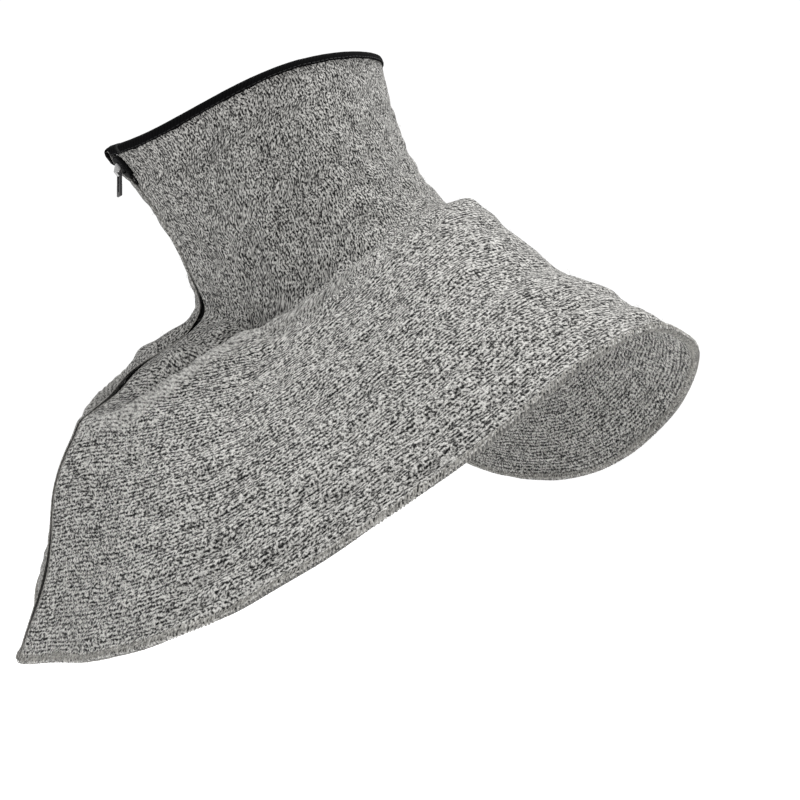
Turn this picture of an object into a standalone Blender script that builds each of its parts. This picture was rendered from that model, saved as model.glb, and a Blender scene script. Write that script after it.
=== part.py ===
# Knitted neck guard: a stand-up collar that flares into a round yoke over shoulders and chest.
# Metres, +Z up, the front faces -Y, the wearer's left is +X. The origin is the neck seat:
# on the neck's axis, level with the collar's foot at the front.
import math

import bmesh
import bpy
import numpy as np
from mathutils import Matrix, Vector

# Shape of the cloth
NECK_RADIUS = 0.066        # collar at its foot, out from the neck's axis
COLLAR_RISE = 0.129        # back of the rim above the neck seat
COLLAR_LEAN = 0.044        # middle of the rim ahead of the neck's axis
YOKE_REACH = 0.206         # hem on the shoulder, out from the neck's axis
YOKE_DROP = 0.168          # front of the hem below the neck seat
KEEL_RISE = 0.012          # how far the zip's line stands out of the round
KEEL_SPREAD = 0.018        # how far the keel fades sideways
KEEL_TIP = 0.0032           # rounding of the keel's tip

# Walls and edges
KNIT_WALL = 0.0019
HEM_WALL = 0.0030
HEM_BAND = 0.005
ZIP_OPENING = 0.0020       # between the two edges of the cloth, away from the slider
EDGE_BOW = 0.0042          # how far the slider spreads each edge of the cloth
EDGE_BOW_AT = 0.0108       # middle of that spread, below the rim
EDGE_BOW_LENGTH = 0.0095
EDGE_BOW_POWER = 4         # higher: the bow is flatter and ends sooner
BINDING_WALL = 0.0008
BINDING_LEG = 0.0036
BINDING_TURN = math.radians(53)    # where the rounding over the rim has its side points
FIT = 0.0003               # running clearance between neighbouring pieces

# Zip
CHAIN_WIDTH = 0.0044
CHAIN_WALL = 0.0015
CHAIN_BELOW = 0.0006       # more room behind the keel, whose flanks fall away from the chain
TAPE_WALL = 0.0007
TAPE_REACH = 0.0140        # tape's outer edge from the middle line
TAPE_INSET = 0.0010        # tape's end above the hem
SLIDER_WIDTH = 0.0074
SLIDER_LENGTH = 0.0115
SLIDER_PLATE = 0.0028
SLIDER_NECK = 0.0022       # width of the post between the two plates
SLIDER_BELOW = 0.0006      # slider's upper end below the binding
CROWN_WIDTH = 0.0020
CROWN_RISE = 0.0042
CROWN_WALL = 0.0011
CROWN_LENGTH = 0.0066
PULL_BAR = 0.0012          # thickness of the pull's eye
PULL_LENGTH = 0.0115       # from the bar to the lower end
PULL_WIDTH = 0.0056
PULL_WALL = 0.0012
PULL_EYE = 0.0050          # length of the hole that the crown passes through
PULL_SLOT = 0.0036
STOP_WIDTH = 0.0036
STOP_LENGTH = 0.0032
STOP_WALL = 0.0009
STOP_ABOVE = 0.0026        # stop's lower end above the hem band

# Fineness
STATIONS = 6               # evenly from the front to the back
COLLAR_STEPS = 2           # rows of a mesh in each section of the collar
YOKE_STEPS = 3
ROUND_STEPS = 64

# Sections from the rim to the hem. run: share of the way along the cloth. ahead: share of
# COLLAR_LEAN. keel: share of KEEL_RISE. Out: shares of NECK_RADIUS on the collar and of YOKE_REACH
# on the yoke. Up: shares of COLLAR_RISE on the collar and of YOKE_DROP on the yoke.
COLUMNS = ("front", "chest", "arm", "shoulder", "blade", "back")
COLLAR_SECTIONS = (
    # name      run    ahead  keel   out, and under it up
    ("rim",    0.000, 1.00, 0.70, (0.950, 0.985, 1.00, 1.00, 1.045, 1.075),
     (0.548, 0.592, 0.748, 0.884, 0.969, 1.0)),
    ("upper",  0.088, 0.82, 0.90, (0.800, 0.865, 0.97, 0.985, 1.015, 1.045),
     (0.412, 0.442, 0.597, 0.736, 0.822, 0.853)),
    ("middle", 0.175, 0.61, 1.00, (0.727, 0.785, 0.955, 0.97, 1.00, 1.015),
     (0.279, 0.287, 0.419, 0.574, 0.659, 0.690)),
    ("lower",  0.263, 0.34, 0.95, (0.748, 0.795, 0.97, 0.985, 1.015, 1.015),
     (0.124, 0.101, 0.233, 0.426, 0.519, 0.550)),
    ("foot",   0.340, 0.09, 0.85, (0.855, 0.875, 1.03, 1.06, 1.075, 1.06),
     (-0.023, -0.078, 0.070, 0.325, 0.413, 0.434)),
)
YOKE_SECTIONS = (
    ("neck",   0.446, 0.00, 0.75, (0.424, 0.400, 0.437, 0.456, 0.422, 0.408),
     (-0.155, -0.161, -0.024, 0.240, 0.238, 0.226)),
    ("upper",  0.579, 0.00, 0.70, (0.555, 0.523, 0.573, 0.612, 0.534, 0.495),
     (-0.315, -0.327, -0.149, 0.126, 0.071, 0.048)),
    ("middle", 0.719, 0.00, 0.80, (0.610, 0.637, 0.699, 0.774, 0.650, 0.573),
     (-0.542, -0.530, -0.298, 0.012, -0.101, -0.155)),
    ("lower",  0.860, 0.00, 0.85, (0.655, 0.710, 0.791, 0.891, 0.743, 0.631),
     (-0.792, -0.726, -0.440, -0.074, -0.280, -0.369)),
    ("hem",    1.000, 0.00, 0.85, (0.694, 0.763, 0.850, 0.996, 0.816, 0.680),
     (-1.000, -0.896, -0.546, -0.143, -0.452, -0.583)),
)

# Folds and dips. side: both, left or right. at, spread: degrees from the front. run, length:
# shares of the way along the cloth. out, up: shares of YOKE_REACH and YOKE_DROP.
FOLDS = (
    # name             side     at   spread  run    length  out     up
    ("front tip",     "both",    0,    7,   1.000,  0.105,  0.000, -0.018),
    ("chest hem",     "both",   55,   16,   1.000,  0.140,  0.000,  0.018),
    ("arm hem",       "both",   86,   14,   1.000,  0.140,  0.000, -0.026),
    ("shoulder hem",  "both",   99,   12,   1.000,  0.140,  0.000,  0.030),
    ("trapezius",     "left",  112,   22,   0.425,  0.060,  0.000,  0.018),
    ("trapezius",     "right", 114,   22,   0.430,  0.060,  0.000,  0.015),
    ("shoulder dip",  "left",  108,   20,   0.639,  0.055,  0.000, -0.028),
    ("shoulder dip",  "right", 106,   22,   0.630,  0.060,  0.000, -0.024),
    ("collar dent",   "left",   66,   20,   0.230,  0.060, -0.007,  0.000),
    ("collar dent",   "right",  74,   22,   0.210,  0.060, -0.006,  0.000),
    ("throat",        "both",    0,   12,   0.450,  0.090, -0.016, -0.010),
    ("throat edge",   "right",  17,   12,   0.455,  0.100,  0.024,  0.022),
    ("blade fold",    "left",  140,   14,   0.800,  0.160,  0.010,  0.000),
    ("blade fold",    "right", 136,   14,   0.820,  0.160,  0.012,  0.000),
)

# Line on which the cloth leaves the neck for the collarbone, the same on both sides: a hollow
# before it and a ridge along it. at: degrees from the front. hollow, ridge: shares of their depths.
COLLARBONE = (
    # at    run   hollow ridge
    (0,   0.600, 0.25, 0.20),
    (9,   0.592, 0.50, 0.60),
    (17,  0.562, 0.90, 1.00),
    (24,  0.500, 1.00, 1.00),
    (33,  0.418, 0.70, 1.00),
    (48,  0.368, 0.20, 0.85),
    (68,  0.358, 0.00, 0.60),
    (92,  0.372, 0.00, 0.00),
    (180, 0.372, 0.00, 0.00),
)
HOLLOW_DEPTH = 0.0534      # share of YOKE_REACH
HOLLOW_BEFORE = 0.050      # middle of the hollow before the line, a share of the way
HOLLOW_LENGTH = 0.045
RIDGE_HEIGHT = 0.0165      # share of YOKE_REACH
RIDGE_AFTER = 0.012
RIDGE_LENGTH = 0.019

# Where the zip gapes a little: share of the way, length of the gape, what each edge gives.
GAPES = (
    # run   length  wider
    (0.325, 0.028, 0.0018),
    (0.480, 0.060, 0.0012),
    (0.580, 0.050, 0.0010),
)


def clear_scene():
    for obj in list(bpy.data.objects):
        bpy.data.objects.remove(obj, do_unlink=True)


def sections():
    """One row per section in metres: run, ahead, keel, then out and up at each station."""
    rows = []
    for group, out_size, up_size in (
        (COLLAR_SECTIONS, NECK_RADIUS, COLLAR_RISE),
        (YOKE_SECTIONS, YOKE_REACH, YOKE_DROP),
    ):
        for name, run, ahead, keel, out, up in group:
            row = [run, ahead * COLLAR_LEAN, keel * KEEL_RISE]
            row += [share * out_size for share in out]
            row += [share * up_size for share in up]
            rows.append(row)
    return np.array(rows)


SECTIONS = sections()
SLOPES = np.gradient(SECTIONS[:, 1:], SECTIONS[:, 0], axis=0)
WAVES = np.arange(STATIONS)
STATION_ANGLES = np.linspace(0.0, math.pi, STATIONS)
TO_WAVES = np.linalg.inv(np.cos(np.outer(STATION_ANGLES, WAVES)))


LINE = np.array(COLLARBONE, float)
LINE_SLOPES = np.gradient(LINE[:, 1:], LINE[:, 0], axis=0)


def smooth_row(table, all_slopes, at):
    """Smooth blend of a table's rows, whose first column is where each stands."""
    runs, values, slopes = table[:, 0], table[:, 1:], all_slopes
    at = min(max(at, runs[0]), runs[-1])
    i = int(np.clip(np.searchsorted(runs, at, side="right") - 1, 0, len(runs) - 2))
    gap = runs[i + 1] - runs[i]
    s = (at - runs[i]) / gap
    start = (2 * s ** 3 - 3 * s ** 2 + 1) * values[i] + (s ** 3 - 2 * s ** 2 + s) * gap * slopes[i]
    end = (-2 * s ** 3 + 3 * s ** 2) * values[i + 1] + (s ** 3 - s ** 2) * gap * slopes[i + 1]
    return start + end


def collarbone_shift(turned, run):
    """How far the collarbone's hollow and ridge move a point, equally out and up."""
    line, hollow, ridge = smooth_row(LINE, LINE_SLOPES, abs(turned))
    in_hollow = math.exp(-((run - line + HOLLOW_BEFORE) / HOLLOW_LENGTH) ** 2)
    on_ridge = math.exp(-((run - line - RIDGE_AFTER) / RIDGE_LENGTH) ** 2)
    shift = ridge * RIDGE_HEIGHT * on_ridge - hollow * HOLLOW_DEPTH * in_hollow
    return shift * YOKE_REACH / math.sqrt(2)


def fold_shift(angle, run):
    """How far the folds move a point out and up."""
    turned = (math.degrees(angle) + 180.0) % 360.0 - 180.0
    out = up = collarbone_shift(turned, run)
    for name, side, at, spread, where, length, more_out, more_up in FOLDS:
        for sign in (1, -1):
            if (side == "left" and sign < 0) or (side == "right" and sign > 0):
                continue
            if side == "both" and at == 0 and sign < 0:
                continue
            near = ((turned - sign * at) / spread) ** 2 + ((run - where) / length) ** 2
            weight = math.exp(-near)
            out += weight * more_out * YOKE_REACH
            up += weight * more_up * YOKE_DROP
    return out, up


def cloth(angle, run):
    """Middle of the cloth's wall. angle: 0 at the front, growing to the wearer's left."""
    row = smooth_row(SECTIONS, SLOPES, run)
    waves = np.cos(WAVES * angle)
    out = float((TO_WAVES @ row[2:2 + STATIONS]) @ waves)
    up = float((TO_WAVES @ row[2 + STATIONS:]) @ waves)
    more_out, more_up = fold_shift(angle, run)
    out += more_out
    x = out * math.sin(angle)
    y = -row[0] - out * math.cos(angle)
    if math.cos(angle) > 0:
        y -= row[1] * math.exp(-math.hypot(x, KEEL_TIP) / KEEL_SPREAD)
    return np.array([x, y, up + more_up])


def outward(angle, run, turn=1e-3, step=1e-3):
    """Unit normal of the cloth, out of the wearer."""
    low, high = max(run - step, 0.0), min(run + step, 1.0)
    across = cloth(angle + turn, run) - cloth(angle - turn, run)
    along = cloth(angle, high) - cloth(angle, low)
    normal = np.cross(across, along)
    normal /= np.linalg.norm(normal)
    return -normal


def angle_at(x, run):
    """The angle near the front where the cloth is x metres left of the middle line."""
    angle = 0.0
    for _ in range(6):
        reach = cloth(angle, run)[0] / math.sin(angle) if abs(angle) > 1e-6 else NECK_RADIUS
        angle = math.asin(min(max(x / reach, -0.9), 0.9))
    return angle


def angle_behind(x, run, depth):
    """The angle whose point this deep behind the cloth is x metres left of the middle line."""
    angle = angle_at(x, run)
    for _ in range(4):
        angle = angle_at(x + depth * outward(angle, run)[0], run)
    return angle


def front_line():
    """Lengths along the middle line from the rim, at evenly spaced shares of the way."""
    points = np.array([cloth(0.0, run) for run in FRONT_RUNS])
    return np.concatenate([[0.0], np.cumsum(np.linalg.norm(np.diff(points, axis=0), axis=1))])


FRONT_RUNS = np.linspace(0.0, 1.0, 300)
FRONT_LINE = front_line()


def run_below_rim(distance):
    """Share of the way that lies this far down the cloth's front from the rim."""
    return float(np.interp(distance, FRONT_LINE, FRONT_RUNS))


def run_above_hem(distance):
    return run_below_rim(FRONT_LINE[-1] - distance)


def wall_at(run):
    """Thickness of the cloth, thicker in the hem band."""
    return HEM_WALL if run >= HEM_RUN - 1e-9 else KNIT_WALL


def run_stops(extra):
    """Shares at which a mesh has a row: evenly inside each section, and at the extra ones."""
    stops = []
    for i, (a, b) in enumerate(zip(SECTIONS[:-1, 0], SECTIONS[1:, 0])):
        steps = COLLAR_STEPS if i < len(COLLAR_SECTIONS) - 1 else YOKE_STEPS
        stops += [a + (b - a) * k / steps for k in range(steps)]
    stops.append(1.0)
    for share in extra:
        stops = [s for s in stops if abs(s - share) > 0.012 or s in extra or s in (0.0, 1.0)]
        stops.append(share)
    return sorted(stops)


LEG_RUN = run_below_rim(BINDING_LEG)
TAPE_TOP_RUN = run_below_rim(BINDING_LEG + FIT)
HEM_RUN = run_above_hem(HEM_BAND)
HEM_STEP = run_above_hem(HEM_BAND + (HEM_WALL - KNIT_WALL) / 2)
TAPE_END_RUN = run_above_hem(TAPE_INSET)
BOW_RUNS = [run_below_rim(EDGE_BOW_AT + k * EDGE_BOW_LENGTH) for k in (-0.4, 0.0, 0.7, 1.5)]
CLOTH_RUNS = run_stops([LEG_RUN, TAPE_TOP_RUN, HEM_STEP, HEM_RUN] + BOW_RUNS)


def edge_at(run):
    """Distance of the cloth's edge from the middle line."""
    below = float(np.interp(run, FRONT_RUNS, FRONT_LINE))
    gape = sum(wider * math.exp(-((run - at) / length) ** 2) for at, length, wider in GAPES)
    return ZIP_OPENING / 2 + gape + EDGE_BOW * math.exp(-abs((below - EDGE_BOW_AT) / EDGE_BOW_LENGTH) ** EDGE_BOW_POWER)


def tape_angles(run, edge):
    """Angles of the tape's columns on this row: beside the chain, between, and its outer edge."""
    inner = angle_behind(CHAIN_WIDTH / 2 + FIT, run, wall_at(run) / 2 + FIT + TAPE_WALL)
    outer = angle_at(TAPE_REACH, run)
    return inner, (max(edge, inner) + outer) / 2, outer


def column_angles(run):
    """Angles of the cloth's columns on this row, from its left edge round the back to its right."""
    edge = angle_behind(edge_at(run), run, wall_at(run) / 2)
    inner, middle, outer = tape_angles(run, edge)
    second = inner if edge < inner - 0.01 else (edge + middle) / 2
    near = [edge, second, middle, outer]
    last = near[-1]
    middle = [last + (2 * math.pi - 2 * last) * k / ROUND_STEPS for k in range(1, ROUND_STEPS)]
    return near + middle + [2 * math.pi - a for a in reversed(near)]


def mesh_object(name, points, faces, smooth=True):
    mesh = bpy.data.meshes.new(name)
    mesh.from_pydata([tuple(map(float, p)) for p in points], [], faces)
    graph = bmesh.new()
    graph.from_mesh(mesh)
    bmesh.ops.recalc_face_normals(graph, faces=graph.faces)
    if graph.calc_volume(signed=True) < 0:
        bmesh.ops.reverse_faces(graph, faces=graph.faces)
    graph.to_mesh(mesh)
    graph.free()
    if smooth:
        mesh.shade_smooth()
    obj = bpy.data.objects.new(name, mesh)
    PART.objects.link(obj)
    return obj


def loft(name, rings, smooth=True):
    """Closed solid through rings of equal length, each a closed section, capped at both ends."""
    count = len(rings[0])
    points = [p for ring in rings for p in ring]
    faces = []
    for i in range(len(rings) - 1):
        for j in range(count):
            k = (j + 1) % count
            faces.append((i * count + j, i * count + k, (i + 1) * count + k, (i + 1) * count + j))
    faces.append(tuple(range(count)))
    faces.append(tuple((len(rings) - 1) * count + j for j in reversed(range(count))))
    return mesh_object(name, points, faces, smooth)


def shell(name, outer, inner):
    """Closed wall between two grids of points of the same size."""
    rows, columns = len(outer), len(outer[0])
    points = [p for row in outer for p in row] + [p for row in inner for p in row]
    half = rows * columns

    def at(side, i, j):
        return side * half + i * columns + j

    faces = []
    for i in range(rows - 1):
        for j in range(columns - 1):
            faces.append((at(0, i, j), at(0, i, j + 1), at(0, i + 1, j + 1), at(0, i + 1, j)))
            faces.append((at(1, i, j), at(1, i + 1, j), at(1, i + 1, j + 1), at(1, i, j + 1)))
    for j in range(columns - 1):
        faces.append((at(0, 0, j), at(1, 0, j), at(1, 0, j + 1), at(0, 0, j + 1)))
        low = rows - 1
        faces.append((at(0, low, j), at(0, low, j + 1), at(1, low, j + 1), at(1, low, j)))
    for i in range(rows - 1):
        end = columns - 1
        faces.append((at(0, i, 0), at(0, i + 1, 0), at(1, i + 1, 0), at(1, i, 0)))
        faces.append((at(0, i, end), at(1, i, end), at(1, i + 1, end), at(0, i + 1, end)))
    return mesh_object(name, points, faces)


def offset(angle, run, depth):
    """Point of the cloth moved depth metres along its normal."""
    return cloth(angle, run) + depth * outward(angle, run)


def make_knit():
    outer, inner = [], []
    for run in CLOTH_RUNS:
        wall = wall_at(run)
        angles = column_angles(run)
        outer.append([offset(a, run, wall / 2) for a in angles])
        inner.append([offset(a, run, -wall / 2) for a in angles])
    return shell("knit_body", outer, inner)


def make_binding():
    """Folded strip over the rim: an outer leg, a rounded top and an inner leg."""
    near = KNIT_WALL / 2 + FIT
    far = near + BINDING_WALL
    top = FIT + BINDING_WALL
    side_share, top_share = math.cos(BINDING_TURN), math.sin(BINDING_TURN)
    rings = []
    end = angle_behind(edge_at(0.0), 0.0, far)
    for angle in [end] + column_angles(0.0)[1:-1] + [2 * math.pi - end]:
        up = cloth(angle, 0.0) - cloth(angle, 0.02)
        up /= np.linalg.norm(up)
        rim = cloth(angle, 0.0)
        normal = outward(angle, 0.0)
        low_out = offset(angle, LEG_RUN, far)
        low_in = offset(angle, LEG_RUN, near)
        back_in = offset(angle, LEG_RUN, -near)
        back_out = offset(angle, LEG_RUN, -far)
        ring = [low_out, rim + far * normal]
        ring.append(rim + side_share * far * normal + top_share * top * up)
        ring.append(rim + top * up)
        ring.append(rim - side_share * far * normal + top_share * top * up)
        ring += [rim - far * normal, back_out, back_in]
        ring += [rim - near * normal + FIT * up, rim + near * normal + FIT * up, low_in]
        rings.append(ring)
    return loft("collar_binding", rings)


def make_tape(name, side):
    """Zip tape behind one edge of the cloth, from under the binding to the hem."""
    runs = [r for r in CLOTH_RUNS if TAPE_TOP_RUN <= r < TAPE_END_RUN - 0.002] + [TAPE_END_RUN]
    front, back = [], []
    for run in runs:
        depth = wall_at(run) / 2 + FIT
        edge = angle_behind(edge_at(run), run, wall_at(run) / 2)
        angles = [side * angle for angle in tape_angles(run, edge)][::side]
        front.append([offset(a, run, -depth) for a in angles])
        back.append([offset(a, run, -depth - TAPE_WALL) for a in angles])
    return shell(name, front, back)


def zip_frame(run):
    """Frame of the zip's middle: place, down along the line, out of the wearer, left."""
    place = cloth(0.0, run)
    low, high = cloth(0.0, max(run - 0.004, 0.0)), cloth(0.0, min(run + 0.004, 1.0))
    down = (high - low) / np.linalg.norm(high - low)
    left = np.array([1.0, 0.0, 0.0])
    out = np.cross(left, down)
    if out[1] > 0:
        out = -out
    depth = wall_at(run) / 2 + FIT + CHAIN_BELOW + CHAIN_WALL / 2
    return place - depth * out, down, out, left


def make_chain():
    """Closed zip's two rows of teeth, fused into one ribbon, from the slider's post to the stop."""
    start = run_below_rim(BINDING_LEG + SLIDER_BELOW + SLIDER_LENGTH / 2)
    end = run_above_hem(HEM_BAND + STOP_ABOVE + STOP_LENGTH + FIT)
    runs = [start] + [r for r in CLOTH_RUNS if start + 0.004 < r < end - 0.004] + [end]
    rings = []
    edge = 0.3 * CHAIN_WALL
    for run in runs:
        place, down, out, left = zip_frame(run)
        ring = []
        for sx, sy in ((1, 1), (-1, 1), (-1, -1), (1, -1)):
            wide, thick = sx * CHAIN_WIDTH / 2, sy * CHAIN_WALL / 2
            first = place + wide * left + (thick - sy * edge) * out
            second = place + (wide - sx * edge) * left + thick * out
            ring += [first, second] if sx * sy > 0 else [second, first]
        rings.append(ring)
    return loft("zip_chain", rings)


def box(name, width, length, thick, middle, collection=None):
    """Box in the slider's own frame: x left, y down the zip, z out of the wearer."""
    mesh = bpy.data.meshes.new(name)
    graph = bmesh.new()
    bmesh.ops.create_cube(graph, size=1.0)
    bmesh.ops.scale(graph, vec=Vector((width, length, thick)), verts=graph.verts)
    bmesh.ops.translate(graph, vec=Vector(middle), verts=graph.verts)
    graph.to_mesh(mesh)
    graph.free()
    obj = bpy.data.objects.new(name, mesh)
    (collection or CUTTERS).objects.link(obj)
    obj.hide_render = collection is None
    obj.display_type = "WIRE" if collection is None else "TEXTURED"
    return obj


def rod(name, radius, length):
    """Round bar along x, as a cutter or a piece to join."""
    mesh = bpy.data.meshes.new(name)
    graph = bmesh.new()
    turn = Matrix.Rotation(math.pi / 2, 4, "Y")
    bmesh.ops.create_cone(
        graph, cap_ends=True, segments=12, radius1=radius, radius2=radius, depth=length, matrix=turn
    )
    graph.to_mesh(mesh)
    graph.free()
    obj = bpy.data.objects.new(name, mesh)
    CUTTERS.objects.link(obj)
    obj.hide_render = True
    obj.display_type = "WIRE"
    return obj


def frame_matrix(place, down, out, left):
    # left x down points into the wearer, so x is turned round to keep the frame right-handed
    right = -left
    columns = np.column_stack([right, down, out])
    if np.linalg.det(columns) < 0:
        columns = np.column_stack([left, down, out])
    matrix = Matrix.Identity(4)
    for i in range(3):
        for j in range(3):
            matrix[i][j] = float(columns[i, j])
        matrix[i][3] = float(place[i])
    return matrix


def boolean(obj, other, operation):
    step = obj.modifiers.new(other.name, "BOOLEAN")
    step.operation = operation
    step.solver = "EXACT"
    step.object = other


def slider_frame():
    run = run_below_rim(BINDING_LEG + SLIDER_BELOW + SLIDER_LENGTH / 2)
    return zip_frame(run)


PLATE_FRONT = CHAIN_WALL / 2 + FIT + SLIDER_PLATE
CROWN_INSIDE = CROWN_RISE - CROWN_WALL
PIVOT_OUT = PLATE_FRONT + CROWN_INSIDE - FIT - PULL_BAR / 2
PIVOT_DOWN = CROWN_LENGTH / 2 - CROWN_WALL - FIT - PULL_BAR / 2


def make_slider():
    """Two plates round the chain, a post between them and lips behind the tapes."""
    plate_middle = PLATE_FRONT - SLIDER_PLATE / 2
    slider = box("zip_slider", SLIDER_WIDTH, SLIDER_LENGTH, SLIDER_PLATE, (0, 0, plate_middle), PART)
    back = box("slider_back", SLIDER_WIDTH, SLIDER_LENGTH, SLIDER_PLATE, (0, 0, -plate_middle))
    post_length = SLIDER_LENGTH / 2 - FIT
    post_middle = -SLIDER_LENGTH / 2 + post_length / 2
    post = box("slider_post", SLIDER_NECK, post_length, 2 * plate_middle, (0, post_middle, 0))
    joined = [back, post]
    lip_width = (SLIDER_WIDTH - CHAIN_WIDTH) / 2 - FIT
    lip_depth = CHAIN_WALL - TAPE_WALL
    for side in (1, -1):
        middle = (side * (SLIDER_WIDTH - lip_width) / 2, 0, lip_depth / 2 - plate_middle)
        joined.append(box("slider_lip", lip_width, SLIDER_LENGTH, SLIDER_PLATE + lip_depth, middle))
    for other in joined:
        boolean(slider, other, "UNION")
    matrix = frame_matrix(*slider_frame())
    for obj in [slider] + joined:
        obj.matrix_world = matrix
    return slider


def make_crown():
    """Arch on the slider's front plate, which holds the pull."""
    top_middle = PLATE_FRONT + CROWN_RISE - CROWN_WALL / 2
    crown = box("slider_crown", CROWN_WIDTH, CROWN_LENGTH, CROWN_WALL, (0, 0, top_middle), PART)
    foot_rise = CROWN_RISE - FIT
    feet = []
    for end in (-1, 1):
        middle = (0, end * (CROWN_LENGTH - CROWN_WALL) / 2, PLATE_FRONT + FIT + foot_rise / 2)
        feet.append(box("crown_foot", CROWN_WIDTH, CROWN_WALL, foot_rise, middle))
    for other in feet:
        boolean(crown, other, "UNION")
    soften(crown, 0.25 * CROWN_WALL)
    matrix = frame_matrix(*slider_frame())
    for obj in [crown] + feet:
        obj.matrix_world = matrix
    return crown


def soften(obj, width):
    edge = obj.modifiers.new("edge", "BEVEL")
    edge.width = width
    edge.segments = 1
    edge.limit_method = "ANGLE"


def pull_pivot():
    place, down, out, left = slider_frame()
    return place + PIVOT_OUT * out + PIVOT_DOWN * down


def make_pull():
    """Flat pull that hangs from its round bar, in a frame of its own: x left, y down, z forward."""
    blade_top = PULL_BAR / 2 + PULL_EYE
    blade_length = PULL_LENGTH - blade_top
    blade_middle = (0, blade_top + blade_length / 2, 0)
    pull = box("pull_tab", PULL_WIDTH, blade_length, PULL_WALL, blade_middle, PART)
    soften(pull, 0.25 * PULL_WALL)
    arm = (PULL_WIDTH - CROWN_WIDTH) / 2 - 3 * FIT
    arm_middle = CROWN_WIDTH / 2 + 2 * FIT + arm / 2
    bar = rod("pull_bar", PULL_BAR / 2, 2 * (arm_middle + arm / 2) - 2 * FIT)
    joined = [bar]
    for side in (1, -1):
        middle = (side * arm_middle, (blade_top + PULL_BAR / 2) / 2, 0)
        joined.append(box("pull_arm", arm, blade_top + 1.5 * PULL_BAR, 0.92 * PULL_BAR, middle))
    for other in joined:
        boolean(pull, other, "UNION")
    slot_middle = PULL_LENGTH - 0.35 * PULL_WIDTH - PULL_SLOT / 2
    slot = box("pull_slot", 0.36 * PULL_WIDTH, PULL_SLOT, 4 * PULL_WALL, (0, slot_middle, 0))
    boolean(pull, slot, "DIFFERENCE")
    down, out, left = np.array([0.0, 0.0, -1.0]), np.array([0.0, -1.0, 0.0]), np.array([1.0, 0.0, 0.0])
    matrix = frame_matrix(pull_pivot(), down, out, left)
    for obj in [pull, slot] + joined:
        obj.matrix_world = matrix
    print("pull pivot", [round(float(v), 5) for v in pull_pivot()])
    return pull


def make_stop():
    """Flat stop between the two tapes, below the end of the chain."""
    run = run_above_hem(HEM_BAND + STOP_ABOVE + STOP_LENGTH / 2)
    place, down, out, left = zip_frame(run)
    stop = box("bottom_stop", STOP_WIDTH, STOP_LENGTH, STOP_WALL, (0, 0, 0), PART)
    stop.matrix_world = frame_matrix(place, down, out, left)
    return stop


def paint(obj, name, colour, roughness, metallic=0.0):
    material = bpy.data.materials.new(name)
    material.use_nodes = True
    shader = material.node_tree.nodes["Principled BSDF"]
    shader.inputs["Base Color"].default_value = (*colour, 1.0)
    shader.inputs["Roughness"].default_value = roughness
    shader.inputs["Metallic"].default_value = metallic
    obj.data.materials.clear()
    obj.data.materials.append(material)
    obj.color = (*colour, 1.0)


clear_scene()
PART = bpy.data.collections.new("neck_guard")
CUTTERS = bpy.data.collections.new("cutters")
bpy.context.scene.collection.children.link(PART)
bpy.context.scene.collection.children.link(CUTTERS)
CUTTERS.hide_render = True

paint(make_knit(), "heather_knit", (0.29, 0.28, 0.27), 0.92)
paint(make_binding(), "black_binding", (0.012, 0.012, 0.013), 0.8)
paint(make_tape("zip_tape_left", 1), "zip_tape_cloth_left", (0.012, 0.012, 0.013), 0.85)
paint(make_tape("zip_tape_right", -1), "zip_tape_cloth_right", (0.012, 0.012, 0.013), 0.85)
paint(make_chain(), "zip_teeth", (0.02, 0.02, 0.022), 0.4)
paint(make_slider(), "slider_metal", (0.025, 0.025, 0.027), 0.4, 1.0)
paint(make_crown(), "crown_metal", (0.6, 0.6, 0.6), 0.25, 1.0)
paint(make_pull(), "pull_metal", (0.09, 0.09, 0.095), 0.35, 1.0)
paint(make_stop(), "stop_metal", (0.05, 0.05, 0.055), 0.4, 1.0)
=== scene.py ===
# Neck guard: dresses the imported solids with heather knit, a bound rim, a zip, yarn along the edges
# and loose fibres, and sets up the floor, the lights and the camera.
import math

import bmesh
import bpy
import numpy as np
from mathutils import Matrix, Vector


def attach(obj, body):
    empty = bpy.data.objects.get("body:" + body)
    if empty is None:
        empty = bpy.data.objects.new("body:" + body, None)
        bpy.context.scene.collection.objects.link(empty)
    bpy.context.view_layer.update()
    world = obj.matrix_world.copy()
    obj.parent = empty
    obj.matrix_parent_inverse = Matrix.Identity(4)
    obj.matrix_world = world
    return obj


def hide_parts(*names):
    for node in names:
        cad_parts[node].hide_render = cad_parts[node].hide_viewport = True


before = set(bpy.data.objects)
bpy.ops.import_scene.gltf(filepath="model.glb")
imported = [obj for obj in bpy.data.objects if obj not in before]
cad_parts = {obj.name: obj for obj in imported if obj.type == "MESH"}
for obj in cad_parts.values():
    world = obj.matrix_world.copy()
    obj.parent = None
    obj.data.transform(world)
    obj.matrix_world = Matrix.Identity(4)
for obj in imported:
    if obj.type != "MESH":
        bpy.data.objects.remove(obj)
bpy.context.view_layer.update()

print("frame loaded:", len(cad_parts), "solids")

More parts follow.
